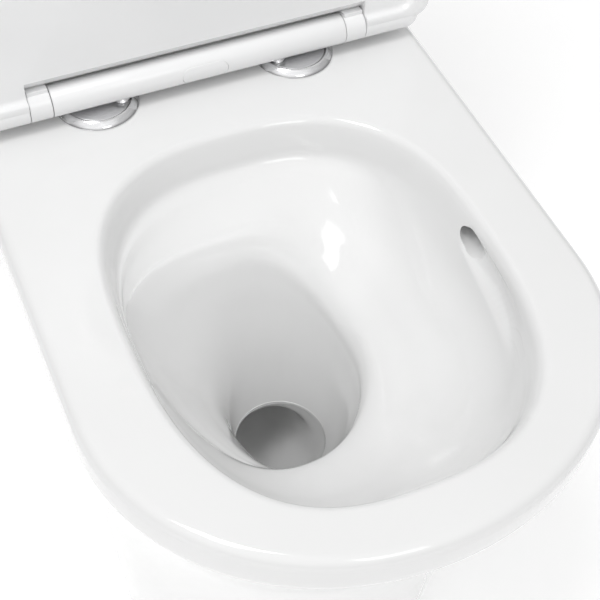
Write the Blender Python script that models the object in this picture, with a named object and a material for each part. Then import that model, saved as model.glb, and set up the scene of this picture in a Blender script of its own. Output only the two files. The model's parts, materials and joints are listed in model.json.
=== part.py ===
"""Close coupled toilet: a skirted washdown pan with a one-touch quick release seat and
lid, and a dual flush cistern with its valves and fixings. Metres, +Z up, -Y is the front.
The origin is on the floor, under the middle of the object."""

import math

import bmesh
import bpy
from mathutils import Matrix, Vector

# Driving dimensions (metres)
RIM_TOP = 0.405  # ceramic rim above the floor
DEPTH = 0.640  # wall to the front of the rim
RIM_HALF_WIDTH = 0.178
FOOT_HALF_WIDTH = 0.145
RIM_BAND = 0.033  # height of the rim's side face
RIM_EDGE = 0.009  # radius of the rim's upper edge
CERAMIC = 0.012  # wall thickness of the fired clay
FIXING_SPACING = 0.155  # between the two seat fixings
FRONT_TO_FIXINGS = 0.413
BAR_RADIUS = 0.0115
BAR_HALF_LENGTH = 0.1128
LUG_OUTER = 0.1292  # outer face of the lid's hinge lugs
COVER_HALF_WIDTH = 0.183  # seat and lid
OPEN_ANGLE = math.radians(95)  # how far the seat and lid stand up from closed
CISTERN_FRONT = 0.156
CISTERN_FLOOR = 0.413
CISTERN_TOP = 0.755
CISTERN_HALF_WIDTH = 0.176
LID_TOP = 0.787  # top of the cistern's lid
GAP = 0.0003  # between pieces that touch
POST_X = 0.061  # hinge posts, bolts and valves, out from the middle
COUPLING_X = 0.086
FILL_X = -0.120
BRACKET_Y = 0.060
SIDE_SCREW_Z = 0.032

FRONT = -DEPTH / 2
BACK = DEPTH / 2
FIXING_Y = FRONT + FRONT_TO_FIXINGS
HINGE_Y = FIXING_Y - 0.0078
HINGE_Z = RIM_TOP + 0.0184
DECK_Y = (CISTERN_FRONT + BACK) / 2  # middle of the cistern, front to back
BOWL_Y = FIXING_Y - 0.208  # middle of the bowl's opening

RIGHT, REAR, LEFT, NEAR = range(4)  # order of the four reaches and heights of a ring

MATERIALS = {
    "china": ((0.93, 0.93, 0.92), 0.08, 0.0),
    "seat_white": ((0.90, 0.90, 0.90), 0.18, 0.0),
    "white_plastic": ((0.86, 0.86, 0.86), 0.35, 0.0),
    "grey_plastic": ((0.45, 0.47, 0.49), 0.40, 0.0),
    "blue_plastic": ((0.12, 0.28, 0.55), 0.40, 0.0),
    "polished_steel": ((0.80, 0.80, 0.81), 0.08, 1.0),
    "satin_steel": ((0.46, 0.46, 0.47), 0.32, 1.0),
    "brass": ((0.78, 0.62, 0.32), 0.30, 1.0),
    "rubber": ((0.05, 0.05, 0.05), 0.75, 0.0),
    "clear_rubber": ((0.82, 0.83, 0.83), 0.45, 0.0),
    "foam": ((0.09, 0.09, 0.10), 0.95, 0.0),
}


def clear_scene():
    for obj in list(bpy.data.objects):
        bpy.data.objects.remove(obj)


def make_material(name):
    color, roughness, metallic = MATERIALS[name]
    mat = bpy.data.materials.new(name)
    mat.use_nodes = True
    shader = mat.node_tree.nodes["Principled BSDF"]
    shader.inputs["Base Color"].default_value = (*color, 1.0)
    shader.inputs["Roughness"].default_value = roughness
    shader.inputs["Metallic"].default_value = metallic
    return mat


def as_object(name, bm, material=None, at=(0, 0, 0)):
    """A named object from a bmesh whose faces are turned outwards."""
    bmesh.ops.recalc_face_normals(bm, faces=bm.faces)
    mesh = bpy.data.meshes.new(name)
    bm.to_mesh(mesh)
    bm.free()
    mesh.shade_smooth()
    mesh.set_sharp_from_angle(angle=math.radians(35))
    obj = bpy.data.objects.new(name, mesh)
    obj.location = at
    bpy.context.collection.objects.link(obj)
    if material:
        mesh.materials.append(bpy.data.materials.get(material) or make_material(material))
    return obj


def hide(obj):
    obj.hide_render = True
    obj.display_type = "WIRE"
    return obj


def boolean(obj, other, operation):
    mod = obj.modifiers.new(other.name, "BOOLEAN")
    mod.operation = operation
    mod.solver = "EXACT"
    mod.object = hide(other)
    return obj


def cut(obj, *cutters):
    for cutter in cutters:
        boolean(obj, cutter, "DIFFERENCE")
    return obj


def join(obj, *others):
    for other in others:
        boolean(obj, other, "UNION")
    return obj


def soften(obj, width, segments=2, angle=40):
    mod = obj.modifiers.new("edges", "BEVEL")
    mod.width = width
    mod.segments = segments
    mod.limit_method = "ANGLE"
    mod.angle_limit = math.radians(angle)
    return obj


def lofted(name, rings, material=None, at=(0, 0, 0)):
    """A closed solid through rings of equal length, capped at both ends."""
    bm = bmesh.new()
    rows = [[bm.verts.new(p) for p in ring] for ring in rings]
    for low, high in zip(rows, rows[1:]):
        for i in range(len(low)):
            bm.faces.new((low[i - 1], low[i], high[i], high[i - 1]))
    bm.faces.new(rows[0])
    bm.faces.new(reversed(rows[-1]))
    return as_object(name, bm, material, at)


def turned(name, profile, material=None, at=(0, 0, 0), axis="Z", segments=24):
    """A turned solid: profile is a list of (radius, height), spun round the axis."""
    bm = bmesh.new()
    verts = [bm.verts.new((r, 0, z)) for r, z in profile]
    loop = zip(verts, verts[1:] + verts[:1])
    edges = [bm.edges.new(pair) for pair in loop]
    bmesh.ops.spin(
        bm, geom=verts + edges, cent=(0, 0, 0), axis=(0, 0, 1),
        angle=math.tau, steps=segments, use_merge=True,
    )
    bmesh.ops.remove_doubles(bm, verts=bm.verts, dist=1e-6)
    bmesh.ops.dissolve_degenerate(bm, edges=bm.edges, dist=1e-6)
    flat = [e for e in bm.edges if not e.link_faces]
    bmesh.ops.delete(bm, geom=flat, context="EDGES")
    if axis == "X":
        bmesh.ops.transform(bm, matrix=Matrix.Rotation(math.pi / 2, 4, "Y"), verts=bm.verts)
    return as_object(name, bm, material, at)


def rod(name, radius, low, high, material=None, at=(0, 0, 0), axis="Z", segments=24, edge=0.0):
    """A round bar between two heights along its axis, with a small chamfer."""
    profile = [(0, low), (radius - edge, low), (radius, low + edge),
               (radius, high - edge), (radius - edge, high), (0, high)]
    if not edge:
        profile = [(0, low), (radius, low), (radius, high), (0, high)]
    return turned(name, profile, material, at, axis, segments)


def sleeve(name, inner, outer, low, high, material=None, at=(0, 0, 0), axis="Z", segments=24):
    """A plain tube or washer."""
    profile = [(inner, low), (outer, low), (outer, high), (inner, high)]
    return turned(name, profile, material, at, axis, segments)


def nut(name, bore, radius, low, high, material, at, sides=6, segments=24, axis="Z"):
    """A nut with flat sides and a round bore, whose facets match those of its bolt."""
    made = rod(name, radius, low, high, material, at, axis, sides)
    margin = 0.01
    return cut(made, rod(f"{name}_bore", bore, low - margin, high + margin, None, at, axis, segments))


def block(name, low, high, material=None):
    """A box between two corners."""
    bm = bmesh.new()
    bmesh.ops.create_cube(bm, size=1)
    size = Vector(high) - Vector(low)
    bmesh.ops.scale(bm, vec=size, verts=bm.verts)
    bmesh.ops.translate(bm, vec=(Vector(low) + Vector(high)) / 2, verts=bm.verts)
    return as_object(name, bm, material)


def signed_power(value, power):
    return math.copysign(abs(value) ** power, value)


def smooth_path(knots, samples):
    """Points on a Catmull-Rom curve through the knots."""
    knots = [Vector(k) for k in knots]
    padded = [2 * knots[0] - knots[1], *knots, 2 * knots[-1] - knots[-2]]
    out = []
    for a, b, c, d in zip(padded, padded[1:], padded[2:], padded[3:]):
        for i in range(samples):
            t = i / samples
            out.append(0.5 * (2 * b + (c - a) * t + (2 * a - 5 * b + 4 * c - d) * t**2
                              + (3 * b - a - 3 * c + d) * t**3))
    return [*out, knots[-1]]


def pipe(name, knots, samples=2, sides=12, grow=0.0):
    """A round pipe whose knots are (x, y, z, radius), for a duct or its clay wall."""
    points = smooth_path([Vector(k[:3]) for k in knots], samples)
    radii = [p.x for p in smooth_path([Vector((k[3], 0, 0)) for k in knots], samples)]
    rings = []
    side = Vector((1, 0, 0))
    for i, point in enumerate(points):
        along = (points[min(i + 1, len(points) - 1)] - points[max(i - 1, 0)]).normalized()
        side = (side - along * side.dot(along)).normalized()
        over = along.cross(side)
        rings.append([
            point + (radii[i] + grow) * (side * math.cos(a) + over * math.sin(a))
            for a in (math.tau * k / sides for k in range(sides))
        ])
    return lofted(name, rings)


def d_ring(half_width, front, back, nose, z, corner=0.012, exponent=2.05, steps=24):
    """A level outline with a flat back, straight sides and a rounded front. nose is the
    length of the rounded front, which is a superellipse."""
    points = []
    for k in range(4):
        a = math.pi / 2 * (1 - k / 3)
        points.append((-half_width + corner * (1 - math.cos(a)), back - corner * (1 - math.sin(a))))
    start = front + nose
    points.append((-half_width, (start + back) / 2))
    for k in range(steps + 1):
        a = math.pi * k / steps
        points.append((-half_width * signed_power(math.cos(a), 2 / exponent),
                       start - nose * signed_power(math.sin(a), 2 / exponent)))
    points.append((half_width, (start + back) / 2))
    for k in range(4):
        a = math.pi / 2 * k / 3
        points.append((half_width - corner * (1 - math.cos(a)), back - corner * (1 - math.sin(a))))
    return [(x, y, z) for x, y in points]


def box_ring(half_width, front, back, corner, z, steps=4):
    """A level rounded rectangle."""
    points = []
    for sx, y, turn in ((1, back, 0), (-1, back, 1), (-1, front, 2), (1, front, 3)):
        cx = sx * (half_width - corner)
        cy = y - corner if y == back else y + corner
        for k in range(steps + 1):
            a = math.pi / 2 * (turn + k / steps)
            points.append((cx + corner * math.cos(a), cy + corner * math.sin(a), z))
    return points


# --- Pan -----------------------------------------------------------------------------

# Outer skin, floor to rim: height, half width, front, length of the rounded front
NOSE_RIM = 0.159
NOSE_FOOT = 0.125
FOOT_SETBACK = 0.095  # of the foot's front, from the rim's
UNDERCUT = 0.005  # of the skirt under the rim's side band
SKIRT_TOP = RIM_TOP - RIM_BAND
VOID_TOP = RIM_TOP - 0.055


def skin_levels():
    foot_front = FRONT + FOOT_SETBACK
    levels = [(0.0, FOOT_HALF_WIDTH, foot_front, NOSE_FOOT)]
    for part in (0.25, 0.45, 0.62, 0.78, 0.90, 1.0):
        z = SKIRT_TOP * part
        flare = 0.35 * part + 0.65 * part**3
        levels.append((z, FOOT_HALF_WIDTH + (RIM_HALF_WIDTH - UNDERCUT - FOOT_HALF_WIDTH) * part,
                       foot_front + (FRONT + UNDERCUT - foot_front) * flare,
                       NOSE_FOOT + (NOSE_RIM - NOSE_FOOT) * part))
    return levels


def rim_levels():
    """The rim's side band, with a small under edge and a rounded upper edge."""
    levels = [(SKIRT_TOP + 0.003, 0.0015), (SKIRT_TOP + 0.007, 0.0)]
    for k in range(5):
        a = math.pi / 2 * k / 4
        levels.append((RIM_TOP - RIM_EDGE * (1 - math.sin(a)), RIM_EDGE * (1 - math.cos(a))))
    return [(z, RIM_HALF_WIDTH - inset, FRONT + inset, NOSE_RIM - inset) for z, inset in levels]


def pan_outer():
    rings = [d_ring(hw, front, BACK, nose, z) for z, hw, front, nose in skin_levels()]
    for z, hw, front, nose in rim_levels():
        rings.append(d_ring(hw, front, BACK, nose, z))
    return lofted("pan", rings, "china")


def skirt_void():
    """The hollow under the pan, open at the floor."""
    rings = []
    for z, hw, front, nose in skin_levels()[:-1]:
        level = min(z, VOID_TOP) or -0.01
        rings.append(d_ring(hw - CERAMIC, front + CERAMIC, BACK - CERAMIC, nose - CERAMIC / 2, level))
    return lofted("skirt_void", rings)


# Bowl: rings as (centre y, reaches right/rear/left/near, heights right/rear/left/near)
# measured from the rim's top, all in millimetres. x is measured from the middle.
OPENING = (128, 144, 128, 166)


def bowl_rings():
    lip = [(3.0, 0.3), (3.0, 0.0), (0.5, -1.2), (-2.5, -5.0), (-4.5, -12.0), (-8.0, -28.0)]
    rings = [((0, 0), tuple(r + out for r in OPENING), (z,) * 4, 2.65) for out, z in lip]
    rings += [
        ((0, 0), (114, 127, 119, 150), (-48, -40, -34, -48), 2.6),
        ((0, 2), (104, 117, 116, 138), (-70, -52, -44, -72), 2.5),
        ((-4, 8), (82, 103, 110, 112), (-93, -62, -50, -100), 2.3),
        ((-12, 22), (64, 79, 102, 77), (-115, -68, -58, -137), 2.15),
        ((-11, 20), (60, 73, 95, 72), (-121, -76, -64, -145), 2.1),
        ((-8, 18), (57, 67, 59, 69), (-136, -100, -103, -156), 2.05),
        ((-7, 18), (54, 60, 51, 65), (-155, -126, -121, -168), 2.0),
        ((-6, 19), (45, 48, 43, 53), (-190, -180, -178, -196), 2.0),
        ((-5, 20), (36, 36, 36, 36), (-225,) * 4, 2.0),
    ]
    return rings


def bowl_ring(ring, grow=0.0, steps=40):
    (cx, cy), reach, height, exponent = ring
    points = []
    for k in range(steps):
        a = math.tau * k / steps
        c, s = math.cos(a), math.sin(a)
        across = reach[RIGHT] if c >= 0 else reach[LEFT]
        along = reach[REAR] if s >= 0 else reach[NEAR]
        z_across = height[RIGHT] if c >= 0 else height[LEFT]
        z_along = height[REAR] if s >= 0 else height[NEAR]
        points.append((
            (cx + (across + grow) * signed_power(c, 2 / exponent)) / 1000,
            BOWL_Y + (cy + (along + grow) * signed_power(s, 2 / exponent)) / 1000,
            RIM_TOP + (z_across * c * c + z_along * s * s - grow * 0.6) / 1000,
        ))
    return points


def bowl_cavity():
    rings = [bowl_ring(r) for r in bowl_rings()]
    rings[0] = [(x, y, RIM_TOP + 0.004) for x, y, _ in rings[0]]
    return lofted("bowl_cavity", rings)


def bowl_shell():
    """The outside of the bowl's clay wall, which stands in the skirt's hollow."""
    rings = [bowl_ring(r, grow=1000 * CERAMIC) for r in bowl_rings()[5:]]
    rings[0] = [(x, y, RIM_TOP - 0.03) for x, y, _ in rings[0]]
    return lofted("bowl_shell", rings)


# Trap: from the throat at the foot of the well, down, under the dip and over the weir
TRAP = [
    (-0.005, -0.0950, 0.188, 0.0330),
    (-0.005, -0.0940, 0.168, 0.0365),
    (-0.004, -0.0760, 0.138, 0.0360),
    (-0.001, -0.0280, 0.120, 0.0330),
    (0.0, 0.0250, 0.136, 0.0320),
    (0.0, 0.0680, 0.180, 0.0330),
    (0.0, 0.1080, 0.220, 0.0350),
    (0.0, 0.1580, 0.232, 0.0380),
    (0.0, 0.2150, 0.203, 0.0410),
    (0.0, 0.2620, 0.185, 0.0430),
]
OUTLET_Z = 0.185
OUTLET_END = BACK - 0.006
SPIGOT_RADIUS = 0.0525


def trap_bore():
    return pipe("trap_bore", [*TRAP, (0, BACK + 0.02, OUTLET_Z, 0.0430)])


def trap_wall():
    knots = [*TRAP, (0, OUTLET_END, OUTLET_Z, 0.0430)]
    return pipe("trap_wall", knots, grow=0.008)


# Flush duct: from the chamber under the cistern, round inside the rim, to the bowl wall
DUCT_RADIUS = 0.0083
DUCT = [
    (0.010, DECK_Y, 0.345),
    (0.060, DECK_Y - 0.022, 0.349),
    (0.112, DECK_Y - 0.070, 0.362),
    (0.144, DECK_Y - 0.135, 0.375),
    (0.152, 0.030, 0.381),
    (0.153, -0.035, 0.385),
    (0.146, -0.078, 0.386),
    (0.133, -0.103, 0.386),
    (0.118, -0.124, 0.386),
]


def duct_bore():
    return pipe("duct_bore", [(*k, DUCT_RADIUS) for k in DUCT])


def duct_wall():
    return pipe("duct_wall", [(*k, DUCT_RADIUS) for k in DUCT], grow=0.008)


def flush_channel():
    """A shallow channel in the bowl's right wall, fading out ahead of the flush hole."""
    knots = [
        (0.1225, -0.112, 0.3860, 0.0080),
        (0.1200, -0.130, 0.3845, 0.0088),
        (0.1150, -0.160, 0.3800, 0.0078),
        (0.1060, -0.188, 0.3745, 0.0060),
    ]
    return pipe("flush_channel", knots)


def deck_bores():
    """The inlet socket and the bolt holes in the pan's rear deck."""
    made = [
        rod("inlet_socket", 0.052, 0.385, 0.42, at=(0, DECK_Y, 0), segments=32),
        rod("inlet_chamber", 0.028, 0.325, 0.39, at=(0, DECK_Y, 0)),
        rod("fill_valve_opening", 0.020, 0.33, 0.42, at=(FILL_X, DECK_Y, 0)),
    ]
    for side in (-1, 1):
        made.append(rod("coupling_hole", 0.0065, 0.33, 0.42, at=(side * COUPLING_X, DECK_Y, 0),
                        segments=12))
        made.append(rod("fixing_hole", 0.008, 0.33, 0.42,
                        at=(side * FIXING_SPACING / 2, FIXING_Y, 0), segments=16))
        made.append(rod("side_hole", 0.0083, 0.10, 0.16, at=(0, BRACKET_Y, SIDE_SCREW_Z),
                        axis="X", segments=16))
        if side < 0:
            made[-1].rotation_euler.z = math.pi
    return made


def make_pan():
    pan = pan_outer()
    void = skirt_void()
    rear_void = block("rear_void", (-0.150, 0.135, 0.25), (0.150, BACK - CERAMIC, 0.380))
    join(void, rear_void)
    inlet_boss = block("inlet_boss", (-0.060, DECK_Y - 0.062, 0.312),
                       (0.060, DECK_Y + 0.062, 0.390))
    cut(void, bowl_shell(), trap_wall(), duct_wall(), inlet_boss)
    rear_opening = block("rear_opening", (-0.100, BACK - 0.02, -0.01), (0.100, BACK + 0.01, 0.30))
    keep_spigot = rod("keep_spigot", SPIGOT_RADIUS, BACK - 0.04, OUTLET_END, segments=32,
                      at=(0, 0, OUTLET_Z))
    keep_spigot.rotation_euler.x = -math.pi / 2
    cut(rear_opening, keep_spigot)
    cut(pan, void, bowl_cavity(), trap_bore(), duct_bore(), flush_channel(), rear_opening)
    cut(pan, *deck_bores())
    return pan


# --- Seat, lid and their hinge --------------------------------------------------------
# The seat and lid are modelled closed, about the hinge axis, and then stood up.

SEAT_UNDER = -0.0060  # the seat's flat underside, from the axis
SEAT_BORDER = -0.0115  # its border, level with the bar
SEAT_TOP = 0.0100
COVER_FRONT = FRONT - HINGE_Y + 0.0005  # the rim's front, from the axis
NOTCH = 0.1297
HOLE_Y = -0.212  # middle of the hole in the seat, from the axis
COVER_NOSE = 0.165
LID_UNDER = 0.0125
LID_CROWN = 0.0275
LID_REAR = 0.0105


def cover_ring(inset, z, back):
    return d_ring(COVER_HALF_WIDTH - inset, COVER_FRONT + inset, back - inset, COVER_NOSE - inset, z,
                  exponent=2.1)


def superellipse(cx, cy, across, near, rear, exponent, z, steps=36):
    points = []
    for k in range(steps):
        a = math.tau * k / steps
        s = math.sin(a)
        along = rear if s >= 0 else near
        points.append((cx + across * signed_power(math.cos(a), 2 / exponent),
                       cy + along * signed_power(s, 2 / exponent), z))
    return points


def seat_hole():
    """The hole in the ring, flared at its upper and lower edge."""
    rings = []
    for z, out in ((SEAT_BORDER - 0.002, 0.004), (SEAT_UNDER, 0.001), (-0.001, 0.0),
                   (SEAT_TOP - 0.004, 0.002), (SEAT_TOP + 0.0005, 0.009)):
        rings.append(superellipse(0, HOLE_Y, 0.104 + out, 0.137 + out, 0.120 + out, 2.35, z))
    return lofted("seat_hole", rings)


def seat_recess():
    """The hollow underside between the outer border and the border round the hole."""
    rings = [cover_ring(0.014 + d, z, -0.010 + 0.014)
             for z, d in ((SEAT_BORDER - 0.004, -0.003), (SEAT_BORDER + 0.001, -0.001),
                          (SEAT_UNDER - 0.001, 0.0005), (SEAT_UNDER, 0.003))]
    recess = lofted("seat_recess", rings)
    collar = [superellipse(0, HOLE_Y, 0.112, 0.145, 0.128, 2.35, z)
              for z in (SEAT_BORDER - 0.01, SEAT_UNDER + 0.004)]
    cut(recess, lofted("hole_collar", collar))
    return recess


def ear(side):
    """The seat's hinge ear: a bar with a domed outer end."""
    reach = COVER_HALF_WIDTH - NOTCH
    profile = [(0, 0), (BAR_RADIUS, 0), (BAR_RADIUS, reach - 0.011)]
    for k in range(1, 5):
        a = math.pi / 2 * k / 4
        profile.append((BAR_RADIUS * math.cos(a) if k < 4 else 0, reach - 0.011 + 0.011 * math.sin(a)))
    made = turned(f"seat_ear_{side}", profile, axis="X", segments=32, at=(side * NOTCH, 0, 0))
    if side < 0:
        made.rotation_euler.z = math.pi
    return made


def make_seat():
    levels = ((SEAT_BORDER, 0.0060), (SEAT_BORDER + 0.0018, 0.0020), (-0.0055, 0.0),
              (0.0030, 0.0), (0.0078, 0.0022), (SEAT_TOP, 0.0080))
    seat = lofted("seat_ring", [cover_ring(inset, z, 0.0) for z, inset in levels], "seat_white")
    join(seat, ear(-1), ear(1))
    cut(seat, seat_hole(), seat_recess())
    cut(seat, block("seat_notch", (-NOTCH, -0.0145, -0.03), (NOTCH, 0.03, 0.03)))
    for side in (-1, 1):
        cut(seat, rod(f"ear_bore_{side}", 0.0045, min(side * 0.10, side * 0.141),
                      max(side * 0.10, side * 0.141), axis="X", segments=16))
    return seat


def lug(side):
    """A hinge lug of the lid, round the hinge axis."""
    low, high = sorted((side * (BAR_HALF_LENGTH + 0.0006), side * LUG_OUTER))
    made = rod(f"lug_{side}", BAR_RADIUS, low, high, axis="X", segments=32)
    foot = block(f"lug_foot_{side}", (low, -0.0135, -0.0040), (high, 0.0080, LID_UNDER + 0.004))
    return join(made, foot)


def make_lid():
    levels = ((LID_UNDER, 0.0030), (LID_UNDER + 0.0015, 0.0005), (0.0165, 0.0), (0.0210, 0.0008),
              (0.0245, 0.0040), (0.0265, 0.0120), (LID_CROWN, 0.0300))
    lid = lofted("lid", [cover_ring(inset, z, LID_REAR) for z, inset in levels], "seat_white")
    rings = [cover_ring(0.013 + d, z, -0.012) for z, d in
             ((LID_UNDER - 0.004, -0.001), (0.0180, 0.0010), (0.0205, 0.0060))]
    cut(lid, lofted("lid_recess", rings))
    join(lid, lug(-1), lug(1))
    for side in (-1, 1):
        low, high = sorted((side * 0.10, side * 0.14))
        cut(lid, rod(f"lug_bore_{side}", 0.0045, low, high, axis="X", segments=16))
    return lid


def buffer(name, x, y, low, high, radius=0.008):
    """A rubber foot pushed into the seat or the lid, modelled closed like them."""
    profile = [(0, low), (radius - 0.002, low), (radius, low + 0.002), (radius, high), (0, high)]
    return turned(name, profile, "clear_rubber", (x, y, 0), segments=16)


def make_buffers():
    under_seat = SEAT_UNDER - GAP
    on_rim = RIM_TOP - HINGE_Z + GAP
    for side, word in ((-1, "left"), (1, "right")):
        buffer(f"seat_buffer_rear_{word}", side * 0.150, -0.185, on_rim, under_seat)
        buffer(f"seat_buffer_front_{word}", side * 0.075, -0.364, on_rim, under_seat)
        buffer(f"lid_buffer_{word}", side * 0.105, -0.345, SEAT_TOP + GAP, 0.0205 - GAP, 0.006)


def pill_ring(half_length, radius, y, z=0.0, steps=6):
    """An upright outline in the XZ plane with round ends."""
    points = []
    for side, turn in ((1, -0.5), (-1, 0.5)):
        for k in range(steps + 1):
            a = math.pi * (turn + k / steps)
            points.append((side * (half_length - radius) + radius * math.cos(a), y,
                           z + radius * math.sin(a)))
    return points


def make_hinge_bar():
    """The bar that carries the seat and lid, and lifts off its two posts."""
    at = (0, HINGE_Y, HINGE_Z)
    bar = rod("hinge_bar", BAR_RADIUS, -BAR_HALF_LENGTH, BAR_HALF_LENGTH, "seat_white", at, "X",
              segments=32, edge=0.0006)
    cut(bar, rod("bar_bore", 0.0082, -0.125, 0.125, at=at, axis="X", segments=32))
    window = lofted("button_window", [pill_ring(0.0178, 0.0070, y) for y in (-0.02, -0.003)], at=at)
    cut(bar, window)
    for side in (-1, 1):
        cut(bar, rod(f"post_hole_{side}", 0.0066, -0.02, 0.0, segments=16,
                     at=(side * POST_X, HINGE_Y, HINGE_Z)))
    return bar


def make_release():
    """The push button in the bar, its leaf spring, and the two latches."""
    at = (0, HINGE_Y, HINGE_Z)
    rings = [pill_ring(0.0174 - i, 0.0066 - i, y)
             for y, i in ((-0.0113, 0.0012), (-0.0108, 0.0), (-0.0050, 0.0))]
    lofted("release_button", rings, "seat_white", at)
    spring = [(-0.014, 0.0042), (-0.007, 0.0005), (0.007, 0.0005), (0.014, 0.0042)]
    rings = [[(x, y, -0.003), (x, y, 0.003), (x, y + 0.0007, 0.003), (x, y + 0.0007, -0.003)]
             for x, y in spring]
    lofted("release_spring", rings, "polished_steel", at)
    for side, word in ((-1, "left"), (1, "right")):
        tip = side * (POST_X - 0.0056)
        low, high = sorted((side * 0.0215, tip))
        latch = block(f"latch_{word}", (low, HINGE_Y - 0.004, HINGE_Z - 0.003),
                      (high, HINGE_Y + 0.004, HINGE_Z + 0.003), "grey_plastic")
        soften(latch, 0.0008, 1)


def make_dampers():
    """Soft close dampers: a barrel in the bar and a pin out to the lid and the seat."""
    for side, word in ((-1, "left"), (1, "right")):
        profile = [(0, 0.0710), (0.0072, 0.0710), (0.0078, 0.0716), (0.0078, 0.1108),
                   (0.0041, 0.1108), (0.0041, 0.1375), (0.0034, 0.1385), (0, 0.1385)]
        damper = turned(f"damper_{word}", profile, "grey_plastic", (0, HINGE_Y, HINGE_Z), "X", 20)
        if side < 0:
            damper.rotation_euler.z = math.pi


def make_fixings():
    """What holds the hinge bar's posts on the pan: two of everything."""
    for side, word in ((-1, "left"), (1, "right")):
        at = (side * FIXING_SPACING / 2, FIXING_Y, RIM_TOP)
        ring = [(0.0248, GAP), (0.0310, GAP), (0.0310, 0.0012), (0.0300, 0.0022),
                (0.0268, 0.0048), (0.0254, 0.0050), (0.0248, 0.0045)]
        turned(f"fixing_ring_{word}", ring, "polished_steel", at, segments=28)
        plate = rod(f"fixing_plate_{word}", 0.0244, GAP, 0.0040, "satin_steel", at, segments=28,
                    edge=0.0004)
        cut(plate, rod(f"plate_hole_{word}", 0.0034, -0.01, 0.01, at=at, segments=12))
        foot = [(0, 0.0043), (0.0061, 0.0043), (0.0061, 0.0056), (0.0050, 0.0064),
                (0.0050, 0.0195), (0.0038, 0.0207), (0, 0.0207)]
        turned(f"hinge_post_{word}", foot, "polished_steel",
               (side * POST_X, HINGE_Y, RIM_TOP), segments=20)
        bolt = [(0, -0.0480), (0.0030, -0.0480), (0.0030, 0.0043), (0.0050, 0.0043),
                (0.0046, 0.0056), (0, 0.0058)]
        turned(f"fixing_bolt_{word}", bolt, "polished_steel", at, segments=12)
        bush = [(0.0034, -0.0370), (0.0066, -0.0370), (0.0077, -0.0345), (0.0077, -0.0006),
                (0.0034, -0.0006)]
        turned(f"expanding_bush_{word}", bush, "rubber", at, segments=16)
        nut = [(0.0034, -0.0470), (0.0070, -0.0470), (0.0070, -0.0410), (0.0060, -0.0373),
               (0.0034, -0.0373)]
        turned(f"bush_nut_{word}", nut, "brass", at, segments=16)


# --- Cistern --------------------------------------------------------------------------

CISTERN_WALL = 0.010
VALVE_RADIUS = 0.030


def make_cistern():
    taper = 0.006
    outer = [
        box_ring(CISTERN_HALF_WIDTH - taper - 0.006, CISTERN_FRONT + 0.006, BACK, 0.022,
                 CISTERN_FLOOR),
        box_ring(CISTERN_HALF_WIDTH - taper, CISTERN_FRONT, BACK, 0.026, CISTERN_FLOOR + 0.008),
        box_ring(CISTERN_HALF_WIDTH, CISTERN_FRONT, BACK, 0.026, CISTERN_TOP),
    ]
    cistern = lofted("cistern", outer, "china")
    inner = [
        box_ring(CISTERN_HALF_WIDTH - w - CISTERN_WALL, CISTERN_FRONT + CISTERN_WALL + i,
                 BACK - CISTERN_WALL - i, 0.018, z)
        for z, w, i in ((CISTERN_FLOOR + 0.012, taper + 0.006, 0.006),
                        (CISTERN_FLOOR + 0.020, taper, 0.0), (CISTERN_TOP + 0.01, 0.0, 0.0))
    ]
    cut(cistern, lofted("cistern_hollow", inner))
    cut(cistern, rod("valve_hole", VALVE_RADIUS + 0.0015, 0.40, 0.44, at=(0, DECK_Y, 0)))
    cut(cistern, rod("fill_hole", 0.0110, 0.40, 0.44, at=(FILL_X, DECK_Y, 0), segments=16))
    for side in (-1, 1):
        cut(cistern, rod(f"bolt_hole_{side}", 0.0055, 0.40, 0.44, segments=12,
                         at=(side * COUPLING_X, DECK_Y, 0)))


BUTTON_Y = DECK_Y


def make_cistern_lid():
    low = CISTERN_TOP + GAP
    half, front = COVER_HALF_WIDTH, CISTERN_FRONT - 0.004
    levels = ((low, 0.0010, 0.0), (low + 0.0015, 0.0, 0.0), (low + 0.020, 0.0, 0.0),
              (low + 0.0265, 0.0020, 0.0), (low + 0.0300, 0.0070, 0.002), (LID_TOP, 0.0200, 0.010))
    rings = [box_ring(half - i, front + i, BACK - j, 0.028, z) for z, i, j in levels]
    lid = lofted("cistern_lid", rings, "china")
    inner = CISTERN_WALL + 0.009
    under = [box_ring(half - inner - i, front + inner + i - 0.002, BACK - inner - i + 0.006, 0.016, z)
             for z, i in ((low - 0.01, 0.0), (low + 0.012, 0.002), (low + 0.020, 0.010))]
    cut(lid, lofted("lid_hollow", under))
    cut(lid, rod("button_hole", 0.0235, 0.70, 0.80, at=(0, BUTTON_Y, 0), segments=32))
    return lid


def half_disc(radius, low, high, side, split):
    """Outline rings of a button half, cut along its middle."""
    rings = []
    start = math.asin(split / radius)
    for z, r in ((low, radius), (high - 0.001, radius), (high, radius - 0.001)):
        ring = []
        for k in range(13):
            a = start + (math.pi - 2 * start) * k / 12
            ring.append((r * math.cos(a), side * max(r * math.sin(a), split), z))
        rings.append(ring)
    return rings


def make_buttons():
    """Dual flush buttons in a bezel on the cistern's lid, each with its push rod."""
    at = (0, BUTTON_Y, 0)
    bezel = [(0.0205, LID_TOP - 0.030), (0.0230, LID_TOP - 0.030), (0.0230, LID_TOP + GAP),
             (0.0285, LID_TOP + GAP), (0.0285, LID_TOP + 0.0018), (0.0260, LID_TOP + 0.0045),
             (0.0225, LID_TOP + 0.0040), (0.0205, LID_TOP + 0.0020)]
    turned("button_bezel", bezel, "polished_steel", at, segments=32)
    nut("bezel_nut", 0.0236, 0.0300, LID_TOP - 0.0250, LID_TOP - 0.0145, "white_plastic", at,
        sides=12, segments=32)
    for side, word in ((1, "full"), (-1, "half")):
        button = lofted(f"{word}_flush_button",
                        half_disc(0.0200, LID_TOP - 0.004, LID_TOP + 0.003, side, 0.0004),
                        "polished_steel", at)
        join(button, rod(f"{word}_push_rod", 0.0028, 0.7135, LID_TOP - 0.002, segments=10,
                         at=(0, BUTTON_Y + side * 0.010, 0)))


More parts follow.
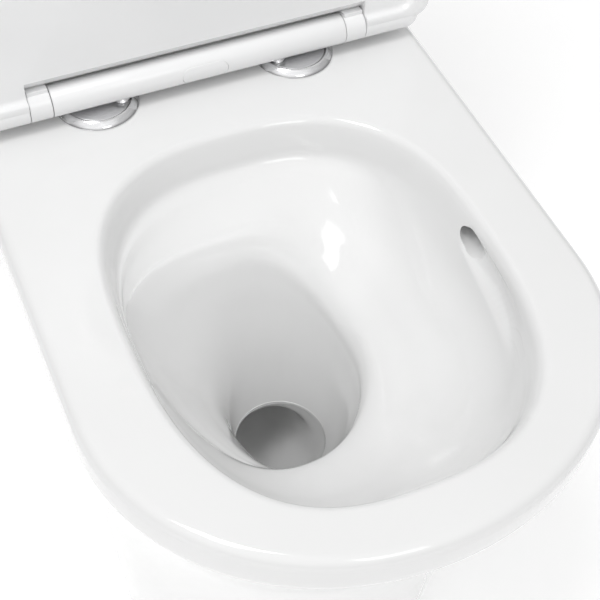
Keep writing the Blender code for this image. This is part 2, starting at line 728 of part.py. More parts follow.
def make_flush_valve():
    """Dual flush valve: base and seat, cage, and the overflow tube that lifts the seal."""
    at = (0, DECK_Y, 0)
    low = CISTERN_FLOOR + 0.012
    base = [(0.0255, 0.3870), (VALVE_RADIUS, 0.3870), (VALVE_RADIUS, low + 0.0022),
            (0.0420, low + 0.0022), (0.0420, low + 0.0060), (0.0300, low + 0.0100),
            (0.0300, low + 0.0180), (0.0255, low + 0.0180)]
    turned("flush_valve_base", base, "white_plastic", at, segments=32)
    sleeve("valve_gasket", VALVE_RADIUS + GAP, 0.0400, low + GAP, low + 0.0019, "rubber", at)
    nut("valve_backnut", VALVE_RADIUS + GAP, 0.0375, 0.4000, CISTERN_FLOOR - GAP,
        "white_plastic", at, sides=12, segments=32)
    seal_z = low + 0.0180 + GAP
    sleeve("flush_seal", 0.0105, 0.0290, seal_z, seal_z + 0.0040, "rubber", at)
    tube = [(0.0075, seal_z - 0.006), (0.0102, seal_z - 0.006), (0.0102, seal_z + 0.0043),
            (0.0250, seal_z + 0.0043), (0.0250, seal_z + 0.0080), (0.0102, seal_z + 0.0120),
            (0.0102, 0.6600), (0.0075, 0.6600)]
    turned("overflow_tube", tube, "white_plastic", at, segments=24)
    make_cage(low)


def make_cage(low):
    """The cage that stands on the valve base and guides the overflow tube."""
    at = (0, DECK_Y, 0)
    cage = sleeve("valve_cage", 0.0320, 0.0350, low + 0.0105, 0.7000, "blue_plastic", at,
                  segments=24)
    top = turned("cage_top", [(0, 0.692), (0.034, 0.692), (0.034, 0.708), (0, 0.708)], at=at)
    join(cage, top)
    for k in range(2):
        window = block(f"cage_window_{k}", (-0.018, -0.05, low + 0.022), (0.018, 0.05, 0.640))
        window.location = at
        window.rotation_euler.z = k * math.pi / 2
        cut(cage, window)
    return cage


def make_coupling():
    """The foam ring, bolts, washers and wing nuts that hold the cistern to the pan."""
    doughnut = [(0.0380, 0.3856), (0.0500, 0.3856), (0.0515, 0.3880), (0.0515, 0.4120),
                (0.0380, 0.4127)]
    turned("coupling_gasket", doughnut, "foam", (0, DECK_Y, 0), segments=32)
    floor = CISTERN_FLOOR + 0.012
    for side, word in ((-1, "left"), (1, "right")):
        at = (side * COUPLING_X, DECK_Y, 0)
        sleeve(f"bolt_washer_{word}", 0.0053, 0.0120, floor + GAP, floor + 0.0030, "rubber", at,
               segments=16)
        bolt = [(0, 0.3600), (0.0048, 0.3600), (0.0048, floor + 0.0033), (0.0100, floor + 0.0033),
                (0.0088, floor + 0.0080), (0, floor + 0.0090)]
        turned(f"coupling_bolt_{word}", bolt, "brass", at, segments=16)
        wing = sleeve(f"wing_nut_{word}", 0.0051, 0.0105, 0.3650, 0.3797, "white_plastic",
                      at, segments=16)
        blade = block(f"wing_{word}", (-0.021, -0.0018, 0.3660), (0.021, 0.0018, 0.3760))
        blade.location = at
        cut(blade, rod(f"wing_bore_{word}", 0.0070, 0.35, 0.39, at=at, segments=12))
        join(wing, blade)


FILL_TOP = 0.690
FLOAT_REST = 0.520


def make_fill_valve():
    """Bottom entry fill valve: stem, cap, float cup, lever, and its fixing nut."""
    at = (FILL_X, DECK_Y, 0)
    low = CISTERN_FLOOR + 0.012
    stem = [(0.0060, 0.3780), (0.0100, 0.3780), (0.0100, low + 0.0022), (0.0170, low + 0.0022),
            (0.0170, low + 0.0070), (0.0110, low + 0.0110), (0.0110, FILL_TOP), (0.0060, FILL_TOP)]
    turned("fill_valve_stem", stem, "white_plastic", at, segments=20)
    sleeve("fill_gasket", 0.0103, 0.0165, low + GAP, low + 0.0019, "rubber", at, segments=20)
    nut("fill_backnut", 0.0103, 0.0160, CISTERN_FLOOR - 0.0103, CISTERN_FLOOR - GAP,
        "white_plastic", at, segments=20)
    cap = [(0, FILL_TOP + GAP), (0.0150, FILL_TOP + GAP), (0.0150, FILL_TOP + 0.016),
           (0.0110, FILL_TOP + 0.022), (0, FILL_TOP + 0.022)]
    turned("fill_valve_cap", cap, "blue_plastic", at, segments=20)
    cup = [(0.0125, FLOAT_REST), (0.0300, FLOAT_REST), (0.0300, FLOAT_REST + 0.062),
           (0.0280, FLOAT_REST + 0.066), (0.0125, FLOAT_REST + 0.066)]
    turned("float_cup", cup, "blue_plastic", at, segments=24)
    make_float_lever()


LEVER_PIVOT = Vector((FILL_X + 0.020, DECK_Y, FILL_TOP + 0.010))


def make_float_lever():
    """The lever on the cap. Its far end sits over the adjuster rod of the float."""
    low = LEVER_PIVOT + Vector((-0.0035, -0.004, -0.0025))
    high = LEVER_PIVOT + Vector((0.045, 0.004, 0.0025))
    lever = block("float_lever", low, high, "white_plastic")
    soften(lever, 0.0008, 1)


# --- Floor fixings --------------------------------------------------------------------


def make_floor_fixings():
    """An angle bracket screwed to the floor on each side, and a screw through the skirt."""
    wall = FOOT_HALF_WIDTH - CERAMIC - 0.0015
    for side, word in ((-1, "left"), (1, "right")):
        x_low, x_high = sorted((side * (wall - 0.004), side * wall))
        upright = block(f"floor_bracket_{word}", (x_low, BRACKET_Y - 0.016, 0.0005),
                        (x_high, BRACKET_Y + 0.016, 0.050), "grey_plastic")
        f_low, f_high = sorted((side * (wall - 0.045), side * wall))
        foot = block(f"bracket_foot_{word}", (f_low, BRACKET_Y - 0.016, 0.0005),
                     (f_high, BRACKET_Y + 0.016, 0.0050))
        join(upright, foot)
        cut(upright, rod(f"floor_hole_{word}", 0.0040, -0.01, 0.02, segments=12,
                         at=(side * (wall - 0.026), BRACKET_Y, 0)))
        cut(upright, rod(f"side_bore_{word}", 0.0028, 0.10, 0.15, axis="X", segments=12,
                         at=(0 if side > 0 else -0.25, BRACKET_Y, SIDE_SCREW_Z)))
        screw = [(0, 0.0006), (0.0033, 0.0006), (0.0033, 0.0053), (0.0065, 0.0053),
                 (0.0055, 0.0080), (0, 0.0085)]
        turned(f"floor_screw_{word}", screw, "polished_steel",
               (side * (wall - 0.026), BRACKET_Y, 0), segments=12)
        pin = [(0, 0.1180), (0.0025, 0.1180), (0.0025, 0.1365), (0.0080, 0.1365),
               (0.0080, 0.1455), (0.0070, 0.1462), (0, 0.1464)]
        side_screw = turned(f"side_screw_{word}", pin, "white_plastic",
                            (0, BRACKET_Y, SIDE_SCREW_Z), "X", 16)
        if side < 0:
            side_screw.rotation_euler.z = math.pi


def on_hinge(*makers):
    """Makes pieces that are modelled closed about the hinge axis, then stands them up."""
    before = set(bpy.data.objects)
    for make in makers:
        make()
    stand = bpy.data.objects.new("cover_stand", None)
    stand.location = (0, HINGE_Y, HINGE_Z)
    stand.rotation_euler.x = -OPEN_ANGLE
    bpy.context.collection.objects.link(stand)
    for obj in set(bpy.data.objects) - before - {stand}:
        obj.parent = stand


def main():
    clear_scene()
    make_pan()
    on_hinge(make_seat, make_lid, make_buffers)
    make_hinge_bar()
    make_release()
    make_dampers()
    make_fixings()
    make_cistern()
    make_cistern_lid()
    make_buttons()
    make_flush_valve()
    make_coupling()
    make_fill_valve()
    make_floor_fixings()


main()
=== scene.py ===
"""The looks of the close coupled toilet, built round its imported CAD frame.
Metres, +Z up, -Y is the front. Places come from the frame's own boxes and joints."""

import json
import math

import bmesh
import bpy
import numpy as np
from mathutils import Matrix, Vector


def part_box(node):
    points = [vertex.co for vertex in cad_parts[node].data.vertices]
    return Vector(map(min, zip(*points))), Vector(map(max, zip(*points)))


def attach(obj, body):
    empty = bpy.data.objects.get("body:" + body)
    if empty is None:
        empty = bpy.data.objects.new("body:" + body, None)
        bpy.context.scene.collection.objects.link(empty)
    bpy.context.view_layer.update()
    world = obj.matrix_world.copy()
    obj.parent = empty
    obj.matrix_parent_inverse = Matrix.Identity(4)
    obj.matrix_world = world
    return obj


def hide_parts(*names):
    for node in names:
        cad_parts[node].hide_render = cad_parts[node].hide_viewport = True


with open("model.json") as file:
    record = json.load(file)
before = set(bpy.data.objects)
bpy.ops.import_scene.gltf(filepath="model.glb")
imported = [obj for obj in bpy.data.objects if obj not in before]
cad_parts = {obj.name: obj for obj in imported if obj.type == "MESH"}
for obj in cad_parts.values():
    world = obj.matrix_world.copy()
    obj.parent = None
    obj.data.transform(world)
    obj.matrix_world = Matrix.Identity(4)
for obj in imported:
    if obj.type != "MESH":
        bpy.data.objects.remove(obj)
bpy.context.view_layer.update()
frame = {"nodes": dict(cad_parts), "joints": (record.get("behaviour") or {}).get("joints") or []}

# --- Dimensions read from the frame ----------------------------------------------------

JOINTS = {joint["name"]: joint for joint in frame["joints"]}
PAN_LOW, PAN_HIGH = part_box("pan")
FRONT = PAN_LOW.y
BACK = PAN_HIGH.y
RIM_TOP = PAN_HIGH.z
RIM_HALF_WIDTH = PAN_HIGH.x
HINGE = Vector(JOINTS["lid_hinge"]["pos_m"])
OPEN_ANGLE = math.radians(JOINTS["lid_hinge"]["range_deg"][1])
BAR_LOW, BAR_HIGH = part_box("hinge_bar")
BAR_RADIUS = (BAR_HIGH.z - BAR_LOW.z) / 2
BAR_HALF_LENGTH = BAR_HIGH.x
COVER_HALF_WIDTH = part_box("lid")[1].x
CISTERN_LOW, CISTERN_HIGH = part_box("cistern")
CISTERN_LID_LOW, CISTERN_LID_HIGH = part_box("cistern_lid")
DECK_Y = (CISTERN_LOW.y + CISTERN_HIGH.y) / 2

# Dimensions that are shared with the CAD pan, in metres
FOOT_HALF_WIDTH = 0.145
CERAMIC = 0.012  # the thickness of the pan's walls
RIM_BAND = 0.033
RIM_EDGE = 0.009
SKIRT_TOP = RIM_TOP - RIM_BAND
VOID_TOP = RIM_TOP - 0.055
NOSE_RIM = 0.159  # how long the rounded front is, at the rim and at the foot
NOSE_FOOT = 0.125
FOOT_SETBACK = 0.095
UNDERCUT = 0.005  # how far the skirt stands in from the rim band
BOWL_Y = -0.115
GAP = 0.0003  # between pieces that would touch
SHARP_ANGLE = 35  # degrees: shading is smooth up to this angle between faces

SIDES = ((-1, "left"), (1, "right"))


# --- Mesh helpers ----------------------------------------------------------------------


def as_object(name, bm, sharp=SHARP_ANGLE):
    """A named object from a bmesh, smooth but for its edges above the sharp angle."""
    bmesh.ops.recalc_face_normals(bm, faces=bm.faces)
    mesh = bpy.data.meshes.new(name)
    bm.to_mesh(mesh)
    bm.free()
    mesh.shade_smooth()
    mesh.set_sharp_from_angle(angle=math.radians(sharp))
    obj = bpy.data.objects.new(name, mesh)
    bpy.context.scene.collection.objects.link(obj)
    return obj


def finished(obj):
    """Applies every modifier, then marks the sharp edges again."""
    depsgraph = bpy.context.evaluated_depsgraph_get()
    mesh = bpy.data.meshes.new_from_object(obj.evaluated_get(depsgraph), depsgraph=depsgraph)
    obj.modifiers.clear()
    obj.data = mesh
    mesh.shade_smooth()
    mesh.set_sharp_from_angle(angle=math.radians(SHARP_ANGLE))
    return obj


def carve(obj, *others, operation="DIFFERENCE"):
    """Cuts the others out of obj, or joins them to it, and deletes them."""
    for other in others:
        mod = obj.modifiers.new(other.name, "BOOLEAN")
        mod.operation = operation
        mod.solver = "EXACT"
        mod.object = other
    finished(obj)
    for other in others:
        bpy.data.objects.remove(other)
    return obj


def join(obj, *others):
    return carve(obj, *others, operation="UNION")


def place(obj, matrix):
    obj.data.transform(matrix)
    if matrix.to_3x3().determinant() < 0:
        obj.data.flip_normals()
    return obj


def loft(bm, rings, closed=True):
    """Faces between neighbouring rings of equal length. Returns the rows of vertices."""
    rows = [[bm.verts.new(p) for p in ring] for ring in rings]
    start = 0 if closed else 1
    for low, high in zip(rows, rows[1:]):
        for i in range(start, len(low)):
            bm.faces.new((low[i - 1], low[i], high[i], high[i - 1]))
    return rows


def lofted(name, rings, sharp=SHARP_ANGLE):
    """A closed solid through rings, capped at both ends."""
    bm = bmesh.new()
    rows = loft(bm, rings)
    bm.faces.new(rows[0])
    bm.faces.new(reversed(rows[-1]))
    return as_object(name, bm, sharp)


def turned(name, profile, at=(0, 0, 0), axis="Z", steps=64, sharp=SHARP_ANGLE):
    """A turned solid: profile is a closed outline of (radius, height)."""
    bm = bmesh.new()
    verts = [bm.verts.new((r, 0, z)) for r, z in profile]
    edges = [bm.edges.new(pair) for pair in zip(verts, verts[1:] + verts[:1])]
    bmesh.ops.spin(bm, geom=verts + edges, cent=(0, 0, 0), axis=(0, 0, 1),
                   angle=math.tau, steps=steps, use_merge=True)
    bmesh.ops.remove_doubles(bm, verts=bm.verts, dist=1e-6)
    bmesh.ops.dissolve_degenerate(bm, edges=bm.edges, dist=1e-6)
    bmesh.ops.delete(bm, geom=[e for e in bm.edges if not e.link_faces], context="EDGES")
    turn = {"Z": Matrix(), "X": Matrix.Rotation(math.pi / 2, 4, "Y")}[axis]
    bmesh.ops.transform(bm, matrix=Matrix.Translation(at) @ turn, verts=bm.verts)
    return as_object(name, bm, sharp)


def rod(name, radius, low, high, at=(0, 0, 0), axis="Z", steps=48):
    return turned(name, [(0, low), (radius, low), (radius, high), (0, high)], at, axis, steps)


def block(name, low, high):
    bm = bmesh.new()
    bmesh.ops.create_cube(bm, size=1)
    low, high = Vector(low), Vector(high)
    bmesh.ops.scale(bm, vec=high - low, verts=bm.verts)
    bmesh.ops.translate(bm, vec=(low + high) / 2, verts=bm.verts)
    return as_object(name, bm)


def rounded(corners, radius, steps=5):
    """An outline of (radius, height) corners with each corner turned into an arc."""
    out = []
    count = len(corners)
    for i, corner in enumerate(corners):
        here = Vector(corner)
        before = Vector(corners[i - 1]) - here
        after = Vector(corners[(i + 1) % count]) - here
        if here.x < 1e-9:
            out.append(tuple(here))
            continue
        reach = min(radius, 0.45 * before.length, 0.45 * after.length)
        a = here + before.normalized() * reach
        b = here + after.normalized() * reach
        for k in range(steps + 1):
            t = k / steps
            out.append(tuple((1 - t) ** 2 * a + 2 * t * (1 - t) * here + t * t * b))
    return out


def signed_power(value, power):
    return math.copysign(abs(value) ** power, value)


def smooth_path(knots, samples):
    """Points on a Catmull-Rom curve through the knots."""
    knots = [Vector(k) for k in knots]
    padded = [2 * knots[0] - knots[1], *knots, 2 * knots[-1] - knots[-2]]
    out = []
    for a, b, c, d in zip(padded, padded[1:], padded[2:], padded[3:]):
        for i in range(samples):
            t = i / samples
            out.append(0.5 * (2 * b + (c - a) * t + (2 * a - 5 * b + 4 * c - d) * t**2
                              + (3 * b - a - 3 * c + d) * t**3))
    return [*out, knots[-1]]


def pipe(name, knots, samples=6, sides=40, grow=0.0):
    """A round pipe whose knots are (x, y, z, radius)."""
    points = smooth_path([Vector(k[:3]) for k in knots], samples)
    radii = [p.x for p in smooth_path([Vector((k[3], 0, 0)) for k in knots], samples)]
    rings = []
    side = Vector((1, 0, 0))
    for i, point in enumerate(points):
        along = (points[min(i + 1, len(points) - 1)] - points[max(i - 1, 0)]).normalized()
        side = (side - along * side.dot(along)).normalized()
        over = along.cross(side)
        rings.append([
            point + (radii[i] + grow) * (side * math.cos(a) + over * math.sin(a))
            for a in (math.tau * k / sides for k in range(sides))
        ])
    return lofted(name, rings)


REAR_CORNER = 0.012
CORNER_STEPS = 8
SIDE_STEPS = 6


def d_outline(half_width, front, back, nose, exponent=2.05, nose_steps=96):
    """A level outline with a flat back, straight sides and a superellipse front."""
    points = []
    start = front + nose
    corner = REAR_CORNER
    for k in range(CORNER_STEPS + 1):
        a = math.pi / 2 * (1 - k / CORNER_STEPS)
        points.append((-half_width + corner * (1 - math.cos(a)),
                       back - corner * (1 - math.sin(a))))
    for k in range(1, SIDE_STEPS):
        points.append((-half_width, back - corner + (start - back + corner) * k / SIDE_STEPS))
    for k in range(nose_steps + 1):
        a = math.pi * k / nose_steps
        points.append((-half_width * signed_power(math.cos(a), 2 / exponent),
                       start - nose * signed_power(math.sin(a), 2 / exponent)))
    for k in range(SIDE_STEPS - 1, 0, -1):
        points.append((half_width, back - corner + (start - back + corner) * k / SIDE_STEPS))
    for k in range(CORNER_STEPS + 1):
        a = math.pi / 2 * k / CORNER_STEPS
        points.append((half_width - corner * (1 - math.cos(a)),
                       back - corner * (1 - math.sin(a))))
    return points


def d_ring(half_width, front, back, nose, z, **shape):
    return [(x, y, z) for x, y in d_outline(half_width, front, back, nose, **shape)]


BOX_CORNER_STEPS = 10


def box_ring(half_width, front, back, corner, z):
    """A level rounded rectangle."""
    points = []
    for sx, y, turn in ((1, back, 0), (-1, back, 1), (-1, front, 2), (1, front, 3)):
        cx = sx * (half_width - corner)
        cy = y - corner if y == back else y + corner
        for k in range(BOX_CORNER_STEPS + 1):
            a = math.pi / 2 * (turn + k / BOX_CORNER_STEPS)
            points.append((cx + corner * math.cos(a), cy + corner * math.sin(a), z))
    return points


def zip_loops(bm, outer, inner, centre):
    """Fills the flat band between two loops round the same centre with triangles."""
    def turns(loop):
        found = [(math.atan2(v.co.y - centre[1], v.co.x - centre[0]) % math.tau, v) for v in loop]
        return sorted(found, key=lambda pair: pair[0])
    a, b = turns(outer), turns(inner)
    i = j = 0
    while i < len(a) or j < len(b):
        next_a = a[i + 1][0] if i + 1 < len(a) else a[0][0] + math.tau
        next_b = b[j + 1][0] if j + 1 < len(b) else b[0][0] + math.tau
        va, vb = a[i % len(a)][1], b[j % len(b)][1]
        if j >= len(b) or (i < len(a) and next_a <= next_b):
            bm.faces.new((va, a[(i + 1) % len(a)][1], vb))
            i += 1
        else:
            bm.faces.new((va, b[(j + 1) % len(b)][1], vb))
            j += 1


def piece(obj, body, slot, *nodes):
    """A finished piece: it rides on its body and stands for the CAD nodes."""
    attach(obj, body)
    if nodes:
        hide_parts(*nodes)
    obj.data.materials.clear()
    obj.data.materials.append(MATERIALS[slot])
    return obj


# --- Materials -------------------------------------------------------------------------


class Nodes:
    """A short way to write a material's node tree."""

    def __init__(self, name):
        self.material = bpy.data.materials.new(name)
        self.material.use_nodes = True
        self.tree = self.material.node_tree
        self.shader = self.tree.nodes["Principled BSDF"]
        self.position = self.tree.nodes.new("ShaderNodeTexCoord").outputs["Object"]

    def node(self, kind, **inputs):
        made = self.tree.nodes.new(kind)
        for key, value in inputs.items():
            socket = made.inputs[key.replace("_", " ")]
            if isinstance(value, bpy.types.NodeSocket):
                self.tree.links.new(value, socket)
            else:
                socket.default_value = value
        return made

    def stretched(self, scale):
        return self.node("ShaderNodeMapping", Vector=self.position, Scale=scale).outputs[0]

    def noise(self, scale, detail, stretch=None):
        vector = self.stretched(stretch) if stretch else self.position
        return self.node("ShaderNodeTexNoise", Vector=vector, Scale=scale,
                         Detail=detail).outputs["Fac"]

    def ranged(self, value, low, high):
        """Spreads the middle of a noise, where nearly all of it lies, from low to high."""
        return self.node("ShaderNodeMapRange", Value=value, From_Min=0.3, From_Max=0.7,
                         To_Min=low, To_Max=high).outputs[0]

    def colour(self, value, dark, light):
        mix = self.tree.nodes.new("ShaderNodeMix")
        mix.data_type = "RGBA"
        self.tree.links.new(self.ranged(value, 0.0, 1.0), mix.inputs[0])
        mix.inputs[6].default_value = (*dark, 1)
        mix.inputs[7].default_value = (*light, 1)
        self.tree.links.new(mix.outputs[2], self.shader.inputs["Base Color"])

    def roughness(self, value, low, high):
        self.tree.links.new(self.ranged(value, low, high), self.shader.inputs["Roughness"])

    def bump(self, height, distance, strength):
        made = self.node("ShaderNodeBump", Height=height, Distance=distance, Strength=strength)
        self.tree.links.new(made.outputs[0], self.shader.inputs["Normal"])

    def set(self, **values):
        for key, value in values.items():
            self.shader.inputs[key.replace("_", " ")].default_value = value
        return self.material


def china():
    """Vitreous china: a clear glaze over a white body, faintly uneven from firing."""
    n = Nodes("china")
    n.colour(n.noise(7.0, 3.0), (0.835, 0.836, 0.834), (0.860, 0.861, 0.860))
    n.roughness(n.noise(55.0, 3.0), 0.055, 0.095)
    n.bump(n.noise(38.0, 1.0), 0.00012, 0.35)
    return n.set(IOR=1.52, Coat_Weight=0.35, Coat_Roughness=0.04)


def seat_white():
    """Moulded thermoset plastic, polished."""
    n = Nodes("seat_white")
    n.colour(n.noise(11.0, 2.0), (0.905, 0.907, 0.910), (0.930, 0.932, 0.934))
    n.roughness(n.noise(90.0, 3.0), 0.17, 0.24)
    n.bump(n.noise(900.0, 2.0), 0.00002, 0.4)
    return n.set(IOR=1.50)


def moulded(name, dark, light, roughness):
    """Moulded plastic with a fine spark grain."""
    n = Nodes(name)
    n.colour(n.noise(25.0, 3.0), dark, light)
    n.roughness(n.noise(120.0, 3.0), roughness - 0.05, roughness + 0.06)
    n.bump(n.noise(700.0, 3.0), 0.00006, 0.5)
    return n.set(IOR=1.49)


def metal(name, dark, light, low, high, stretch, depth):
    """Metal with fine drawn or brushed lines along the short axis of the stretch."""
    n = Nodes(name)
    lines = n.noise(160.0, 4.0, stretch)
    n.colour(lines, dark, light)
    n.roughness(lines, low, high)
    n.bump(lines, depth, 0.5)
    return n.set(Metallic=1.0)


def soft_black(name, light, grain, depth, roughness):
    """Black rubber or foam, whose grain is as fine as its scale is high."""
    n = Nodes(name)
    n.colour(n.noise(60.0, 3.0), (0.030, 0.030, 0.031), light)
    n.roughness(n.noise(200.0, 2.0), roughness - 0.08, roughness + 0.05)
    n.bump(n.noise(grain, 3.0), depth, 0.8)
    return n.material


def clear_rubber():
    n = Nodes("clear_rubber")
    n.colour(n.noise(40.0, 2.0), (0.74, 0.76, 0.76), (0.82, 0.84, 0.84))
    n.roughness(n.noise(150.0, 2.0), 0.36, 0.48)
    return n.set(Subsurface_Weight=0.25, Subsurface_Scale=0.004)


MATERIALS = {
    "china": china(),
    "seat_white": seat_white(),
    "white_plastic": moulded("white_plastic", (0.80, 0.80, 0.79), (0.86, 0.86, 0.85), 0.36),
    "grey_plastic": moulded("grey_plastic", (0.33, 0.34, 0.35), (0.42, 0.43, 0.44), 0.42),
    "blue_plastic": moulded("blue_plastic", (0.06, 0.18, 0.42), (0.10, 0.25, 0.52), 0.38),
    "polished_steel": metal("polished_steel", (0.76, 0.76, 0.77), (0.86, 0.86, 0.87),
                            0.05, 0.12, (1, 1, 6), 0.000004),
    "satin_steel": metal("satin_steel", (0.74, 0.74, 0.75), (0.88, 0.88, 0.89),
                         0.34, 0.48, (1, 14, 14), 0.00002),
    "brass": metal("brass", (0.62, 0.44, 0.18), (0.78, 0.60, 0.30), 0.22, 0.38,
                   (3, 3, 1), 0.00001),
    "rubber": soft_black("rubber", (0.065, 0.065, 0.066), 500.0, 0.00008, 0.66),
    "clear_rubber": clear_rubber(),
    "foam": soft_black("foam", (0.10, 0.10, 0.105), 320.0, 0.0006, 0.90),
}


def dress_cad_nodes():
    """Every CAD node that stays takes the node material of its slot."""
    for node in frame["nodes"].values():
        for slot in node.material_slots:
            name = slot.material.name.split(".")[0]
            slot.material = MATERIALS[name]


# --- Pan -------------------------------------------------------------------------------

EDGE_STEPS = 12
SKIRT_STEPS = 30
VOID_STEPS = 12


def skirt_level(part):
    """Half width, front and nose of the skirt at a share of its height."""
    flare = 0.35 * part + 0.65 * part**3
    foot_front = FRONT + FOOT_SETBACK
    return (FOOT_HALF_WIDTH + (RIM_HALF_WIDTH - UNDERCUT - FOOT_HALF_WIDTH) * part,
            foot_front + (FRONT + UNDERCUT - foot_front) * flare,
            NOSE_FOOT + (NOSE_RIM - NOSE_FOOT) * part)


def skin_rings():
    """The outside of the pan from the floor to the rim, then over the rim's edge."""
    rings = [(*skirt_level(k / SKIRT_STEPS), SKIRT_TOP * k / SKIRT_STEPS)
             for k in range(SKIRT_STEPS + 1)]
    under = [(0.0036, 0.0003), (0.0022, 0.0016), (0.0009, 0.0038), (0.0001, 0.0068), (0.0, 0.0100)]
    inset = [(i, SKIRT_TOP + up) for i, up in under]
    for k in range(EDGE_STEPS + 1):
        a = math.pi / 2 * k / EDGE_STEPS
        inset.append((RIM_EDGE * (1 - math.cos(a)), RIM_TOP - RIM_EDGE * (1 - math.sin(a))))
    inset.append((RIM_EDGE + 0.0015, RIM_TOP))
    rings += [(RIM_HALF_WIDTH - i, FRONT + i, NOSE_RIM - i, z) for i, z in inset]
    return [d_ring(half, front, BACK, nose, z) for half, front, nose, z in rings]


# The columns of the bowl's rings
CENTRE_X, CENTRE_Y = 0, 1
REACH_RIGHT, REACH_REAR, REACH_LEFT, REACH_NEAR = range(2, 6)
Z_RIGHT, Z_REAR, Z_LEFT, Z_NEAR = range(6, 10)
EXPONENT = 10


def control_rings():
    """The bowl's shape, in millimetres below the rim and out from the bowl's middle:
    centre x and y, reach right, rear, left and near, height the same, exponent."""
    opening = (128, 144, 128, 166)
    lip = [(4.5, 0.0), (3.0, 0.0), (1.7, -0.35), (0.3, -1.2), (-1.3, -2.9), (-2.5, -5.2),
           (-3.6, -8.4), (-4.6, -12.5), (-6.2, -20.0), (-8.0, -28.0)]
    rings = [(0, 0, *(r + out for r in opening), z, z, z, z, 2.65) for out, z in lip]
    rings += [
        (0, 0, 114, 124, 118.9, 150, -48, -36, -30.5, -48, 2.6),
        (-3, 4, 103, 110, 116.3, 138, -70, -42, -33, -72, 2.5),
        (-10, 9, 86, 92, 108.8, 112, -92, -48, -36, -102, 2.3),
        (-19, 15, 71, 73, 99, 70, -113, -54, -40, -137, 2.15),
        (-18, 15, 67, 69, 95.5, 67, -120, -63, -51, -145, 2.12),
        (-13, 16, 60, 63, 82, 65, -137, -90, -86, -156, 2.08),
        (-9, 17, 54, 58, 62, 62, -157, -124, -130, -168, 2.0),
        (-6, 19, 45, 47, 46, 53, -190, -180, -170, -196, 2.0),
        (-5, 20, 36, 36, 36, 36, -225, -225, -225, -225, 2.0),
    ]
    return np.array(rings, float)


LIP_RINGS = 10
FINE_LOW, FINE_HIGH = -50, -5  # millimetres below the rim: the flush hole and its channel
FINE_STEP = 0.8
COARSE_STEP = 3.0


def dense_rings():
    """The control rings with smooth ones between them, close together at the flush hole."""
    rings = control_rings()
    step = np.linalg.norm(np.diff(rings[:, REACH_RIGHT:EXPONENT], axis=0), axis=1) / 2
    knots = np.concatenate([[0], np.cumsum(step)])
    slopes = np.zeros_like(rings)
    rates = np.diff(rings, axis=0) / np.diff(knots)[:, None]
    weight = np.diff(knots)
    slopes[1:-1] = (rates[:-1] * weight[1:, None] + rates[1:] * weight[:-1, None]) / (
        weight[:-1] + weight[1:])[:, None]
    slopes[0], slopes[-1] = rates[0], rates[-1]
    out = []
    for i, length in enumerate(weight):
        fine = FINE_LOW < rings[i, Z_RIGHT] and rings[i + 1, Z_RIGHT] < FINE_HIGH
        apart = FINE_STEP if fine else COARSE_STEP
        count = 1 if i < LIP_RINGS - 3 else max(1, round(length / apart))
        for k in range(count):
            t = k / count
            h00, h10 = 2 * t**3 - 3 * t**2 + 1, t**3 - 2 * t**2 + t
            h01, h11 = 3 * t**2 - 2 * t**3, t**3 - t**2
            out.append(h00 * rings[i] + h10 * length * slopes[i]
                       + h01 * rings[i + 1] + h11 * length * slopes[i + 1])
    return [*out, rings[-1]]


def bowl_angles():
    """Directions round the bowl, closer together at the flush hole and its channel."""
    fine_from, fine_to = math.radians(-50), math.radians(16)
    fine = np.linspace(fine_from, fine_to, 150, endpoint=False)
    rest = np.linspace(fine_to, fine_from + math.tau, 170, endpoint=False)
    return np.concatenate([fine, rest])


GROW_DOWN = 0.6  # how far a grown ring sinks, as a share of its growth


def bowl_ring(ring, angles, grow=0.0):
    """Points of a ring where each direction meets its superellipse."""
    cx, cy, exponent = ring[CENTRE_X], ring[CENTRE_Y], ring[EXPONENT]
    c, s = np.cos(angles), np.sin(angles)
    across = np.where(c >= 0, ring[REACH_RIGHT], ring[REACH_LEFT]) + grow
    along = np.where(s >= 0, ring[REACH_REAR], ring[REACH_NEAR]) + grow
    z_across = np.where(c >= 0, ring[Z_RIGHT], ring[Z_LEFT])
    z_along = np.where(s >= 0, ring[Z_REAR], ring[Z_NEAR])
    share_c, share_s = np.abs(c / across) ** exponent, np.abs(s / along) ** exponent
    total = share_c + share_s
    radius = total ** (-1 / exponent)
    z = (z_across * share_c + z_along * share_s) / total - grow * GROW_DOWN
    points = np.stack([cx + radius * c, cy + radius * s, z], axis=1) / 1000
    return points + np.array([0, BOWL_Y, RIM_TOP])


DUCT_RADIUS = 0.0096
DUCT = [
    (0.010, DECK_Y, 0.345), (0.060, DECK_Y - 0.022, 0.349), (0.112, DECK_Y - 0.070, 0.362),
    (0.144, DECK_Y - 0.135, 0.375), (0.152, 0.030, 0.381), (0.153, -0.035, 0.385),
    (0.143, -0.077, 0.386), (0.131, -0.1035, 0.385), (0.115, -0.1265, 0.385),
]
# The channel that leads on from the duct's mouth: x, y, z and radius
CHANNEL = [(0.1150, -0.1130, 0.3855, 0.0115), (0.1125, -0.130, 0.3845, 0.0150),
           (0.1090, -0.155, 0.3835, 0.0180), (0.1020, -0.185, 0.3825, 0.0200),
           (0.0930, -0.212, 0.3815, 0.0200)]
CHANNEL_OUT = np.array([0.97, -0.24, 0.0])  # into the wall
CHANNEL_RISE = 0.007  # how much shallower it is at its end
CHANNEL_FADE = 0.35  # the share of its length over which it ends


